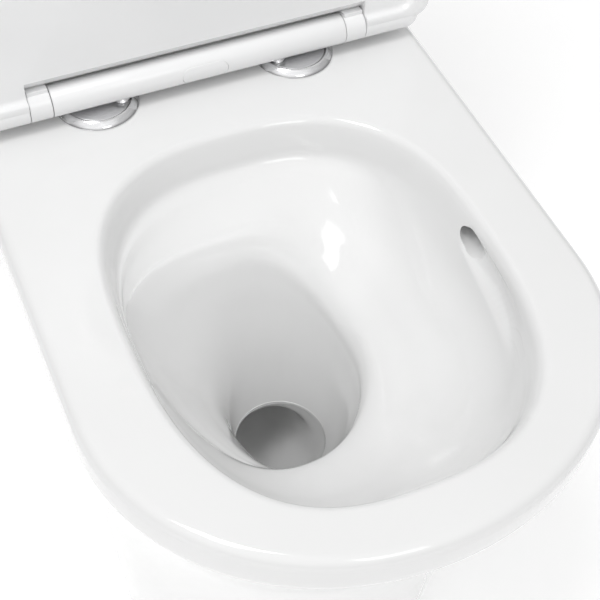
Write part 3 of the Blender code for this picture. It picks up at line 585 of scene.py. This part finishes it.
def with_channel(points):
    """Presses the channel into the bowl's right wall. It softens and fades downstream."""
    path = np.array([tuple(p) for p in smooth_path([Vector(k[:3]) for k in CHANNEL], 24)])
    radii = np.array([p.x for p in smooth_path([Vector((k[3], 0, 0)) for k in CHANNEL], 24)])
    nearest = np.argmin(np.linalg.norm(points[:, None, 1:] - path[None, :, 1:], axis=2), axis=1)
    axis, radius = path[nearest], radii[nearest]
    along = nearest / (len(path) - 1)
    gap = np.linalg.norm(points[:, 1:] - axis[:, 1:], axis=1)
    depth = np.sqrt(np.maximum(radius**2 - gap**2, 0.0)) - CHANNEL_RISE * along**1.5
    stand = (points - axis) @ CHANNEL_OUT
    soft = 0.0008 + 0.0032 * along
    push = soft * np.logaddexp(0.0, (depth - stand) / soft)
    push = np.where((gap < radius) & (points[:, 0] > 0.04), push, 0.0)
    edge = np.clip((radius - gap) / (0.0015 + 0.0105 * np.minimum(1, 2.2 * along)), 0, 1)
    edge *= edge * (3 - 2 * edge) * np.clip((1 - along) / CHANNEL_FADE, 0, 1)
    return points + (push * edge)[:, None] * CHANNEL_OUT


CHANNEL_LOW, CHANNEL_HIGH = -0.060, -0.004  # below the rim: only rows between are pressed


def bowl_skin():
    """Rows of points from the rim's flat top down to the trap."""
    angles = bowl_angles()
    rows = []
    for ring in dense_rings():
        points = bowl_ring(ring, angles)
        if CHANNEL_LOW < points[0][2] - RIM_TOP < CHANNEL_HIGH:
            points = with_channel(points)
        rows.append([tuple(p) for p in points])
    return rows


def pan_body():
    """The whole pan as a closed solid, with its bowl but no hollow under it."""
    bm = bmesh.new()
    skin = loft(bm, skin_rings())
    bowl = loft(bm, bowl_skin())
    bm.faces.new(skin[0])
    bm.faces.new(bowl[-1])
    zip_loops(bm, skin[-1], bowl[0], (0, BOWL_Y))
    return as_object("pan_china", bm)


TRAP = [
    (-0.005, -0.0950, 0.188, 0.0356), (-0.005, -0.0940, 0.168, 0.0365),
    (-0.004, -0.0760, 0.138, 0.0360), (-0.001, -0.0280, 0.120, 0.0330),
    (0.0, 0.0250, 0.136, 0.0320), (0.0, 0.0680, 0.180, 0.0330), (0.0, 0.1080, 0.220, 0.0350),
    (0.0, 0.1580, 0.232, 0.0380), (0.0, 0.2150, 0.203, 0.0410), (0.0, 0.2620, 0.185, 0.0430),
]
OUTLET_Z = 0.185
OUTLET_END = BACK - 0.006
OUTLET_RADIUS = 0.043
SPIGOT_RADIUS = 0.0525
PIPE_WALL = 0.008


def skirt_void():
    """The hollow under the pan, round the bowl's own wall, the trap and the duct."""
    rings = []
    for k in range(VOID_STEPS):
        half, front, nose = skirt_level(k / VOID_STEPS)
        level = -0.01 if k == 0 else min(SKIRT_TOP * k / VOID_STEPS, VOID_TOP)
        rings.append(d_ring(half - CERAMIC, front + CERAMIC, BACK - CERAMIC, nose - CERAMIC / 2,
                            level, nose_steps=48))
    rings.append([(x, y, VOID_TOP) for x, y, _ in rings[-1]])
    void = lofted("skirt_void", rings)
    join(void, block("rear_void", (-0.150, 0.135, 0.25), (0.150, BACK - CERAMIC, 0.380)))
    angles = np.linspace(0, math.tau, 72, endpoint=False)
    wall = [bowl_ring(r, angles, grow=1000 * CERAMIC) for r in control_rings()[LIP_RINGS - 1:]]
    wall[0][:, 2] = RIM_TOP - 0.03
    bowl_wall = lofted("bowl_wall", [[tuple(p) for p in ring] for ring in wall])
    trap_wall = pipe("trap_wall", [*TRAP, (0, OUTLET_END, OUTLET_Z, OUTLET_RADIUS)],
                     grow=PIPE_WALL)
    duct_wall = pipe("duct_wall", [(*k, DUCT_RADIUS) for k in DUCT], sides=24, grow=PIPE_WALL)
    boss = block("inlet_boss", (-0.060, DECK_Y - 0.062, 0.312), (0.060, DECK_Y + 0.062, 0.390))
    return carve(void, bowl_wall, trap_wall, duct_wall, boss)


def rear_opening():
    """The way in from behind, round the outlet spigot."""
    opening = block("rear_opening", (-0.100, BACK - 0.02, -0.01), (0.100, BACK + 0.01, 0.30))
    spigot = rod("spigot", SPIGOT_RADIUS, BACK - 0.04, OUTLET_END, steps=96)
    place(spigot, Matrix.Translation((0, 0, OUTLET_Z)) @ Matrix.Rotation(-math.pi / 2, 4, "X"))
    return carve(opening, spigot)


def centre_of(node):
    low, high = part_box(node)
    return (low + high) / 2


DECK_BORE = (0.33, 0.42)  # from and to which height


def deck_bores():
    """The inlet socket, the fill valve's opening and the bolt holes in the rear deck,
    and the holes for the screws through the skirt."""
    fill = centre_of("fill_valve_stem")
    made = [
        rod("inlet_socket", 0.052, 0.385, 0.42, at=(0, DECK_Y, 0), steps=64),
        rod("inlet_chamber", 0.028, 0.325, 0.39, at=(0, DECK_Y, 0)),
        rod("fill_valve_opening", 0.020, *DECK_BORE, at=(fill.x, DECK_Y, 0)),
    ]
    for side, word in SIDES:
        bolt = centre_of(f"coupling_bolt_{word}")
        seat_bolt = centre_of(f"fixing_bolt_{word}")
        screw = centre_of(f"side_screw_{word}")
        made.append(rod("coupling_hole", 0.0065, *DECK_BORE, at=(bolt.x, bolt.y, 0), steps=24))
        made.append(rod("seat_hole", 0.008, *DECK_BORE, at=(seat_bolt.x, seat_bolt.y, 0),
                        steps=24))
        made.append(rod("side_hole", 0.0083, -0.025, 0.025, at=screw, axis="X", steps=32))
    return made


def make_pan():
    pan = pan_body()
    carve(pan, skirt_void())
    trap = pipe("trap_bore", [*TRAP, (0, BACK + 0.02, OUTLET_Z, OUTLET_RADIUS)],
                samples=8, sides=64)
    inlet = pipe("duct_bore", [(*k, DUCT_RADIUS) for k in DUCT], samples=8, sides=64)
    carve(pan, trap, inlet, rear_opening(), *deck_bores())
    return piece(pan, "root", "china", "pan")


# --- Seat, lid and their hinge ----------------------------------------------------------
# The seat and lid are modelled closed, about the hinge axis, and then stood up.

STAND = Matrix.Translation(HINGE) @ Matrix.Rotation(-OPEN_ANGLE, 4, "X")
COVER_FRONT = FRONT - HINGE.y + 0.0005
COVER_NOSE = 0.165
COVER_EXPONENT = 2.1
SEAT_UNDER = -0.0060
SEAT_BORDER = -0.0115
SEAT_TOP = 0.0100
HOLE = (0.0, -0.212)
HOLE_REACH = (0.104, 0.137, 0.120)  # to each side, to the near end and to the rear
HOLE_EXPONENT = 2.35
HOLE_STEPS = 240
NOTCH = 0.1297  # half the width of the gap for the hinge bar and the lid's lugs
EAR_SETBACK = 0.006
EAR_DOME = 0.011
EAR_STEPS = 12
LID_UNDER = 0.0125
LID_CEILING = 0.0205
LID_CROWN = 0.0275
LID_REAR = 0.0105
PIN_BORE = 0.0045


def cover_angles():
    """Directions round a cover, close together at its two rear corners."""
    corner = math.degrees(math.atan2(-HOLE[1], COVER_HALF_WIDTH))
    turns = set(np.round(np.arange(0, 360, 1.2), 3))
    for middle in (corner, 180 - corner):
        turns |= set(np.round(np.arange(middle - 6, middle + 6, 0.3), 3))
    return np.radians(sorted(turns))


def polar_loop(outline, z, angles):
    """An outline seen from the middle of the seat's hole: a point in each direction."""
    points = np.array(outline)
    ends = np.roll(points, -1, axis=0)
    shares = np.linspace(0, 1, 24, endpoint=False)[None, :, None]
    fine = (points[:, None] * (1 - shares) + ends[:, None] * shares).reshape(-1, 2) - HOLE
    turn = np.arctan2(fine[:, 1], fine[:, 0]) % math.tau
    radius = np.interp(angles, turn[np.argsort(turn)], np.hypot(*fine.T)[np.argsort(turn)],
                       period=math.tau)
    return [(HOLE[0] + r * math.cos(a), HOLE[1] + r * math.sin(a), z)
            for r, a in zip(radius, angles)]


def cover_outline(inset, rear):
    """The outline that the seat and lid share, drawn in by the inset, up to the rear."""
    return d_outline(COVER_HALF_WIDTH - inset, COVER_FRONT + inset, rear, COVER_NOSE - inset,
                     exponent=COVER_EXPONENT)


def hole_outline(out):
    """The seat's hole, a superellipse that is longer towards the front."""
    across, near, rear = (reach + out for reach in HOLE_REACH)
    points = []
    for k in range(HOLE_STEPS):
        a = math.tau * k / HOLE_STEPS
        s = math.sin(a)
        along = rear if s >= 0 else near
        points.append((HOLE[0] + across * signed_power(math.cos(a), 2 / HOLE_EXPONENT),
                       HOLE[1] + along * signed_power(s, 2 / HOLE_EXPONENT)))
    return points


def arc(start, end, corner, steps=6):
    """Points of a quarter ellipse that rounds off the corner between start and end."""
    start, end, corner = Vector(start), Vector(end), Vector(corner)
    out = []
    for k in range(steps + 1):
        a = math.pi / 2 * k / steps
        out.append(tuple(corner + (start - corner) * (1 - math.sin(a))
                         + (end - corner) * (1 - math.cos(a))))
    return out


def shell(name, loops):
    """A closed surface through loops that comes back to the first one."""
    bm = bmesh.new()
    rows = loft(bm, loops)
    for i in range(len(rows[0])):
        bm.faces.new((rows[-1][i - 1], rows[-1][i], rows[0][i], rows[0][i - 1]))
    return as_object(name, bm)


def ear(side):
    """The seat's hinge ear: a bar with a domed outer end."""
    reach = COVER_HALF_WIDTH - NOTCH - EAR_SETBACK
    profile = [(0, 0), (BAR_RADIUS - 0.0005, 0), (BAR_RADIUS, 0.0005)]
    for k in range(EAR_STEPS + 1):
        a = math.pi / 2 * k / EAR_STEPS
        profile.append((BAR_RADIUS * math.cos(a) if k < EAR_STEPS else 0,
                        reach - EAR_DOME + EAR_DOME * math.sin(a)))
    made = turned("ear", profile, axis="X", steps=72)
    flip = Matrix.Rotation(math.pi, 4, "Z") if side < 0 else Matrix()
    return place(made, Matrix.Translation((side * NOTCH, 0, 0)) @ flip)


def make_seat():
    """The ring: its outer edge, top, the hole's flare, and the hollow underside.
    Its rear edge is cut away round the hinge bar."""
    angles = cover_angles()
    loops = []
    for inset, z in [*arc((0.0055, SEAT_BORDER), (0, -0.0070), (0, SEAT_BORDER)),
                     *arc((0, 0.0030), (0.0080, SEAT_TOP), (0, SEAT_TOP), 9)]:
        loops.append(polar_loop(cover_outline(inset, -inset), z, angles))
    for out, z in [*arc((0.0100, SEAT_TOP), (0, 0.0010), (0, SEAT_TOP), 9),
                   *arc((0.0004, -0.0070), (0.0040, SEAT_BORDER), (0.0004, SEAT_BORDER), 5),
                   *arc((0.0070, SEAT_BORDER), (0.0088, -0.0098), (0.0088, SEAT_BORDER), 3),
                   *arc((0.0092, -0.0075), (0.0115, SEAT_UNDER), (0.0094, SEAT_UNDER), 4)]:
        loops.append(polar_loop(hole_outline(out), z, angles))
    for edge, z in [*arc((0.0180, SEAT_UNDER), (0.0142, -0.0082), (0.0146, SEAT_UNDER), 4),
                    *arc((0.0136, -0.0100), (0.0112, SEAT_BORDER), (0.0132, SEAT_BORDER), 3)]:
        loops.append(polar_loop(cover_outline(edge, -0.010 - (edge - 0.014)), z, angles))
    seat = shell("seat_moulding", loops)
    join(seat, ear(-1), ear(1))
    slant = [(-0.0385, -0.0190), (-0.0145, 0.0014), (-0.0050, 0.0014), (-0.0050, -0.0190)]
    cutters = [block("notch", (-NOTCH, -0.0145, -0.03), (NOTCH, 0.03, 0.03)),
               lofted("slant", [[(x, y, z) for y, z in slant] for x in (-NOTCH, NOTCH)])]
    cutters += [rod("bore", PIN_BORE, *sorted((side * 0.10, side * 0.141)), axis="X")
                for side, _ in SIDES]
    carve(seat, *cutters)
    return piece(place(seat, STAND), "seat", "seat_white", "seat_ring")


def lug(side):
    """A hinge lug of the lid, round the hinge axis."""
    low, high = sorted((side * (BAR_HALF_LENGTH + 0.0006), side * (NOTCH - 0.0005)))
    edge = 0.0005
    profile = [(0, low), (BAR_RADIUS - edge, low), (BAR_RADIUS, low + edge),
               (BAR_RADIUS, high - edge), (BAR_RADIUS - edge, high), (0, high)]
    made = turned("lug", profile, axis="X", steps=96)
    return join(made, block("foot", (low + edge, -0.0135, -0.0040),
                            (high - edge, 0.0080, LID_UNDER + 0.004)))


def shrunk(loop, share, z):
    """A loop drawn in towards the middle of the seat's hole, at one height."""
    middle = Vector(HOLE)
    return [(*middle.lerp(Vector(p).xy, share), z) for p in loop]


def make_lid():
    """The crowned cover, with a hollow inner face and its two lugs."""
    angles = cover_angles()
    outer = [*arc((0.0035, LID_UNDER), (0, 0.0150), (0, LID_UNDER), 5),
             *arc((0, 0.0170), (0.0120, 0.0265), (0, 0.0265), 9),
             (0.0200, 0.0271), (0.0300, LID_CROWN)]
    loops = [polar_loop(cover_outline(inset, LID_REAR - inset), z, angles)
             for inset, z in outer]
    inner = [(0.0230, LID_CEILING),
             *arc((0.0190, LID_CEILING), (0.0135, 0.0165), (0.0135, LID_CEILING), 5),
             *arc((0.0128, 0.0140), (0.0105, LID_UNDER), (0.0125, LID_UNDER), 3)]
    under = [polar_loop(cover_outline(edge, -0.012 - (edge - 0.013)), z, angles)
             for edge, z in inner]
    ceiling = [shrunk(under[0], share, LID_CEILING) for share in (0.25, 0.5, 0.75)]
    crown = [shrunk(loops[-1], share, LID_CROWN) for share in (0.75, 0.5, 0.25)]
    bm = bmesh.new()
    rows = loft(bm, [*ceiling, *under, *loops, *crown])
    for row, z in ((rows[0], LID_CEILING), (rows[-1], LID_CROWN)):
        tip = bm.verts.new((*HOLE, z))
        for i in range(len(row)):
            bm.faces.new((row[i - 1], row[i], tip))
    lid = as_object("lid_cover", bm)
    join(lid, lug(-1), lug(1))
    carve(lid, *[rod("bore", PIN_BORE, *sorted((side * 0.10, side * 0.14)), axis="X")
                 for side, _ in SIDES])
    return piece(place(lid, STAND), "lid", "seat_white", "lid")


def make_buffers():
    """Soft feet under the seat and the lid."""
    on_rim = RIM_TOP - HINGE.z + GAP
    # The node, its x and y, from and to which height, its radius and its body
    rows = [("seat_buffer_rear", 0.150, -0.185, on_rim, SEAT_UNDER - GAP, 0.008, "seat"),
            ("seat_buffer_front", 0.075, -0.364, on_rim, SEAT_UNDER - GAP, 0.008, "seat"),
            ("lid_buffer", 0.105, -0.345, SEAT_TOP + GAP, LID_CEILING - GAP, 0.006, "lid")]
    for node, x, y, low, high, radius, body in rows:
        for side, word in SIDES:
            profile = rounded([(0, low), (radius * 0.9, low), (radius, high), (0, high)], 0.003)
            foot = turned(f"{node}_{word}_foot", profile, at=(side * x, y, 0), steps=40)
            piece(place(foot, STAND), body, "clear_rubber", f"{node}_{word}")


WINDOW = (0.0178, 0.0070)  # half length and half height of the button's window
BUTTON_PLAY = 0.00015
INNER_BORE = 0.0082
POST_BORE = 0.0066
PILL_STEPS = 16


def pill(half_length, radius):
    """An outline in the XZ plane with round ends."""
    points = []
    for side, turn in ((1, -0.5), (-1, 0.5)):
        for k in range(PILL_STEPS + 1):
            a = math.pi * (turn + k / PILL_STEPS)
            points.append((side * (half_length - radius) + radius * math.cos(a),
                           radius * math.sin(a)))
    return points


def make_hinge_bar():
    """The bar between the lid's lugs, with the window for its release button."""
    edge = 0.0007
    end = BAR_HALF_LENGTH
    profile = [(0, -end), (BAR_RADIUS - edge, -end), (BAR_RADIUS - edge * 0.3, -end + edge * 0.3),
               (BAR_RADIUS, -end + edge), (BAR_RADIUS, end - edge),
               (BAR_RADIUS - edge * 0.3, end - edge * 0.3), (BAR_RADIUS - edge, end), (0, end)]
    bar = turned("bar", profile, at=HINGE, axis="X", steps=120)
    window = lofted("window", [[(x, y, z) for x, z in pill(*WINDOW)] for y in (-0.02, -0.003)])
    cutters = [rod("bore", INNER_BORE, -0.13, 0.13, at=HINGE, axis="X", steps=48),
               place(window, Matrix.Translation(HINGE))]
    for _, word in SIDES:
        post = centre_of(f"hinge_post_{word}")
        cutters.append(rod("post_hole", POST_BORE, -0.02, 0.0, at=(post.x, *HINGE.yz), steps=40))
    carve(bar, *cutters)
    return piece(bar, "hinge_bar", "seat_white", "hinge_bar")


def make_button():
    """The release button, whose face follows the bar's round surface."""
    def outline(inset):
        return pill(*(size - BUTTON_PLAY - inset for size in WINDOW))

    def ring(inset, sunk):
        face = BAR_RADIUS + 0.0001 - sunk
        return [(x, -math.sqrt(face**2 - z**2), z) for x, z in outline(inset)]

    rings = [[(x, -0.0050, z) for x, z in outline(0)]]
    rings += [ring(0.0, 0.0005), ring(0.0001, 0.0002), ring(0.0003, 0.0)]
    rings += [ring(inset, 0.0) for inset in (0.0008, 0.0022, 0.0040, 0.0056)]
    button = place(lofted("release_pad", rings), Matrix.Translation(HINGE))
    return piece(button, "release_button", "seat_white", "release_button")


def make_fixings():
    """The bright rings, dark plates, bolts and posts on the rim."""
    for _, word in SIDES:
        at = (*centre_of(f"fixing_ring_{word}").xy, RIM_TOP)
        ring = [(0.0248, GAP), (0.0309, GAP), (0.0310, 0.0008), (0.0306, 0.0016),
                (0.0298, 0.0024), (0.0272, 0.0045), (0.0266, 0.0049), (0.0258, 0.0050),
                (0.0251, 0.0047), (0.0248, 0.0040)]
        piece(turned(f"ring_{word}", ring, at, steps=128, sharp=28), "root", "polished_steel",
              f"fixing_ring_{word}")
        plate = rounded([(0.0034, GAP), (0.0244, GAP), (0.0244, 0.0040), (0.0034, 0.0040)],
                        0.0006, 3)
        piece(turned(f"plate_{word}", plate, at, steps=96), "root", "satin_steel",
              f"fixing_plate_{word}")
        post = [(0, 0.0043), (0.0059, 0.0043), (0.0061, 0.0046), (0.0061, 0.0056),
                (0.0055, 0.0062), (0.0051, 0.0066), (0.0050, 0.0072), (0.0050, 0.0195),
                (0.0046, 0.0202), (0.0038, 0.0207), (0, 0.0207)]
        here = centre_of(f"hinge_post_{word}")
        piece(turned(f"post_{word}", post, (here.x, here.y, RIM_TOP)), "root", "polished_steel",
              f"hinge_post_{word}")
        bolt = [(0, -0.0480), (0.0026, -0.0480), (0.0030, -0.0476), (0.0030, 0.0043),
                (0.0048, 0.0043), (0.0050, 0.0046), (0.0047, 0.0054), (0.0040, 0.0057),
                (0.0022, 0.0058), (0.0020, 0.0050), (0, 0.0050)]
        piece(turned(f"bolt_{word}", bolt, at, steps=40), "root", "polished_steel",
              f"fixing_bolt_{word}")


# --- Cistern ------------------------------------------------------------------------------

CISTERN_HALF_WIDTH = CISTERN_HIGH.x
CISTERN_FRONT = CISTERN_LOW.y
CISTERN_FLOOR = CISTERN_LOW.z
CISTERN_TOP = CISTERN_HIGH.z
CISTERN_WALL = 0.010
CISTERN_CORNER = 0.026
CISTERN_STEPS = 12
FLOOR_BORE = (0.40, 0.44)  # from and to which height
TAPER = 0.006
CISTERN_LID_TOP = CISTERN_LID_HIGH.z
CISTERN_LID_CORNER = 0.028
CISTERN_LID_EXTRA = 0.009  # how much thicker it is than the cistern's wall
BUTTON_RADIUS = 0.0200
BUTTON_SPLIT = 0.0004  # from the middle to each half
BUTTON_STEPS = 40


def make_cistern():
    """The tank: a rounded box that widens a little towards its open top."""
    def level(inset, z, corner=CISTERN_CORNER):
        return box_ring(CISTERN_HALF_WIDTH - inset, CISTERN_FRONT + max(inset - TAPER, 0), BACK,
                        corner, z)

    outer = [level(TAPER + inset, z, CISTERN_CORNER - inset / 2) for inset, z in
             arc((0.0070, CISTERN_FLOOR), (0, CISTERN_FLOOR + 0.0090), (0, CISTERN_FLOOR), 8)]
    for k in range(1, CISTERN_STEPS + 1):
        z = CISTERN_FLOOR + 0.009 + (CISTERN_TOP - CISTERN_FLOOR - 0.011) * k / CISTERN_STEPS
        outer.append(level(TAPER * (1 - k / CISTERN_STEPS), z))
    outer += [level(0.0006, CISTERN_TOP - 0.0006), level(0.0020, CISTERN_TOP)]
    tank = lofted("cistern_tank", outer)
    inner = [
        box_ring(CISTERN_HALF_WIDTH - w - CISTERN_WALL, CISTERN_FRONT + CISTERN_WALL + i,
                 BACK - CISTERN_WALL - i, 0.018 - i / 2, z)
        for z, w, i in ((CISTERN_FLOOR + 0.012, TAPER + 0.008, 0.008),
                        (CISTERN_FLOOR + 0.0135, TAPER + 0.003, 0.003),
                        (CISTERN_FLOOR + 0.020, TAPER, 0.0), (CISTERN_TOP - 0.002, 0.0, 0.0),
                        (CISTERN_TOP + 0.0005, -0.0022, -0.0022),
                        (CISTERN_TOP + 0.01, -0.003, -0.003))
    ]
    fill = centre_of("fill_valve_stem")
    cutters = [lofted("tank_hollow", inner),
               rod("valve_hole", 0.0315, *FLOOR_BORE, at=(0, DECK_Y, 0), steps=64),
               rod("fill_hole", 0.0110, *FLOOR_BORE, at=(fill.x, DECK_Y, 0), steps=32)]
    for _, word in SIDES:
        bolt = centre_of(f"coupling_bolt_{word}")
        cutters.append(rod("bolt_hole", 0.0055, *FLOOR_BORE, at=(bolt.x, bolt.y, 0), steps=24))
    carve(tank, *cutters)
    return piece(tank, "root", "china", "cistern")


def make_cistern_lid():
    """The lid, with a softly rounded top edge, a hollow underside and the button's hole."""
    low = CISTERN_LID_LOW.z
    high = CISTERN_LID_TOP
    front = CISTERN_LID_LOW.y
    bottom = arc((0.0015, low), (0, low + 0.0020), (0, low), 4)
    top = arc((0, high - 0.0110), (0.0170, high - 0.0006), (0, high - 0.0006), 12)
    levels = [*bottom, *top, (0.0260, high)]
    rings = [box_ring(COVER_HALF_WIDTH - i, front + i, BACK - i * 0.5 * (z > low + 0.01),
                      CISTERN_LID_CORNER, z) for i, z in levels]
    lid = lofted("cistern_cover", rings)
    inner = CISTERN_WALL + CISTERN_LID_EXTRA
    hollow = [(0.0, low - 0.01), (0.002, low + 0.010),
              *arc((0.0025, low + 0.013), (0.010, low + 0.020), (0.0025, low + 0.020), 5)]
    under = [box_ring(COVER_HALF_WIDTH - inner - i, front + inner + i - 0.002,
                      BACK - inner - i + 0.006, 0.016, z) for i, z in hollow]
    hole = centre_of("button_bezel")
    carve(lid, lofted("lid_hollow", under),
          rod("button_hole", 0.0235, 0.70, 0.80, at=(hole.x, hole.y, 0), steps=64))
    return piece(lid, "cistern_lid", "china", "cistern_lid")


def half_button(side, low, high):
    """A button half, cut along its middle, with a soft edge and a faintly dished face."""
    rings = []
    edges = [(low, 0.0), (high - 0.0016, 0.0), (high - 0.0007, 0.0003), (high - 0.0001, 0.0009),
             (high, 0.0020), (high - 0.0004, 0.0070), (high - 0.0006, 0.0085)]
    for z, inset in edges:
        r = BUTTON_RADIUS - inset
        bottom = BUTTON_SPLIT + min(inset, 0.004)
        start = math.asin(bottom / r)
        ring = []
        for k in range(BUTTON_STEPS + 1):
            a = start + (math.pi - 2 * start) * k / BUTTON_STEPS
            ring.append((r * math.cos(a), side * max(r * math.sin(a), bottom), z))
        rings.append(ring)
    return lofted("half_button", rings, sharp=50)


def make_flush_buttons():
    """Dual flush buttons in their bezel, each with its push rod."""
    at = Vector((*centre_of("button_bezel").xy, 0))
    top = CISTERN_LID_TOP
    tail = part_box("button_bezel")[0].z
    flange = [(0.0230, GAP), (0.0283, GAP), (0.0285, 0.0006), (0.0285, 0.0014),
              (0.0281, 0.0022), (0.0266, 0.0038), (0.0256, 0.0044), (0.0244, 0.0045),
              (0.0228, 0.0040), (0.0212, 0.0027), (0.0205, 0.0014)]
    bezel = [(0.0205, tail), (0.0230, tail), *((radius, top + up) for radius, up in flange)]
    piece(turned("bezel", bezel, at, steps=128, sharp=30), "cistern_lid", "polished_steel",
          "button_bezel")
    for side, word in ((1, "full"), (-1, "half")):
        node = f"{word}_flush_button"
        button = half_button(side, top - 0.004, top + 0.003)
        place(button, Matrix.Translation(at))
        join(button, rod("push_rod", 0.0028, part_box(node)[0].z, top - 0.002,
                         at=(at.x, at.y + side * 0.010, 0), steps=24))
        piece(button, node, "polished_steel", node)


def make_side_screws():
    """The capped screws that come through the skirt near the floor."""
    for side, word in SIDES:
        screw = [(0, 0.1180), (0.0025, 0.1180), (0.0025, 0.1365), (0.0080, 0.1365),
                 (0.0080, 0.1440), (0.0078, 0.1450), (0.0072, 0.1457), (0.0060, 0.1461),
                 (0.0030, 0.1464), (0, 0.1464)]
        cap = turned(f"screw_cap_{word}", screw, axis="X", steps=48)
        flip = Matrix.Rotation(math.pi, 4, "Z") if side < 0 else Matrix()
        here = centre_of(f"side_screw_{word}")
        place(cap, Matrix.Translation((0, here.y, here.z)) @ flip)
        piece(cap, "root", "white_plastic", f"side_screw_{word}")


# --- Camera, light and floor -----------------------------------------------------------

CAMERA_AT = (-0.2401, -0.5639, 1.0226)
YAW = math.radians(27.41)
PITCH = math.radians(51.62)
ROLL = math.radians(4.42)
LENS = 73.85  # on the default 36 mm sensor


def make_camera():
    data = bpy.data.cameras.new("camera")
    data.lens = LENS
    camera = bpy.data.objects.new("camera", data)
    bpy.context.scene.collection.objects.link(camera)
    turn = (Matrix.Rotation(-YAW, 4, "Z") @ Matrix.Rotation(math.pi / 2 - PITCH, 4, "X")
            @ Matrix.Rotation(ROLL, 4, "Z"))
    camera.matrix_world = Matrix.Translation(CAMERA_AT) @ turn
    bpy.context.scene.camera = camera


def area_light(name, at, towards, width, height, watts):
    data = bpy.data.lights.new(name, "AREA")
    data.shape = "RECTANGLE"
    data.size = width
    data.size_y = height
    data.energy = watts
    light = bpy.data.objects.new(name, data)
    bpy.context.scene.collection.objects.link(light)
    light.location = at
    light.rotation_euler = (Vector(towards) - Vector(at)).to_track_quat("-Z", "Y").to_euler()


HORIZON_LIGHT = 0.25
ZENITH_LIGHT = 0.67
FRONT_LIGHT = 0.42
FLOOR_GLOW = 0.24
FRONT_TOP = Vector((-0.25, -0.62, 0.74)).normalized()  # the dome is brighter round here
# Where each softbox stands and looks, its width, its height and its watts
SOFTBOXES = {
    "overhead_softbox": ((-0.62, -0.30, 2.3), (0, -0.05, 0.3), 0.55, 0.75, 13),
    "front_softbox": ((0.11, -1.58, 1.76), (0.045, -0.035, 0.335), 0.60, 0.55, 2.8),
}


def make_studio():
    """A soft dome, brightest overhead and above the front, and two softboxes."""
    world = bpy.data.worlds.new("studio")
    bpy.context.scene.world = world
    world.use_nodes = True
    tree = world.node_tree
    direction = tree.nodes.new("ShaderNodeTexCoord").outputs["Generated"]

    def lobe(towards, start, end, low, high):
        """A light that rises from low to high as a direction's cosine goes from start to end."""
        along = tree.nodes.new("ShaderNodeVectorMath")
        along.operation = "DOT_PRODUCT"
        along.inputs[1].default_value = towards
        tree.links.new(direction, along.inputs[0])
        ramp = tree.nodes.new("ShaderNodeMapRange")
        ramp.interpolation_type = "SMOOTHSTEP"
        tree.links.new(along.outputs["Value"], ramp.inputs["Value"])
        limits = {"From Min": start, "From Max": end, "To Min": low, "To Max": high}
        for name, value in limits.items():
            ramp.inputs[name].default_value = value
        return ramp.outputs[0]

    total = tree.nodes.new("ShaderNodeMath")
    total.operation = "ADD"
    tree.links.new(lobe((0, 0, 1), 0.0, 0.85, HORIZON_LIGHT, ZENITH_LIGHT), total.inputs[0])
    tree.links.new(lobe(FRONT_TOP, 0.62, 1.0, 0.0, FRONT_LIGHT), total.inputs[1])
    background = tree.nodes["Background"]
    background.inputs["Color"].default_value = (1, 1, 1, 1)
    tree.links.new(total.outputs[0], background.inputs["Strength"])
    for name, softbox in SOFTBOXES.items():
        area_light(name, *softbox)
    bpy.context.scene.view_settings.view_transform = "Standard"
    bpy.context.scene.view_settings.look = "None"


def make_floor():
    bm = bmesh.new()
    bmesh.ops.create_grid(bm, x_segments=8, y_segments=8, size=6)
    floor = as_object("floor", bm)
    n = Nodes("pale_floor")
    n.colour(n.noise(3.0, 2.0), (0.95, 0.95, 0.95), (0.97, 0.97, 0.97))
    n.roughness(n.noise(20.0, 2.0), 0.55, 0.65)
    n.set(Emission_Color=(1, 1, 1, 1), Emission_Strength=FLOOR_GLOW)
    floor.data.materials.append(n.material)


make_camera()
make_studio()
make_floor()
make_pan()
make_seat()
make_lid()
make_buffers()
make_hinge_bar()
make_button()
make_fixings()
make_cistern()
make_cistern_lid()
make_flush_buttons()
make_side_screws()
dress_cad_nodes()
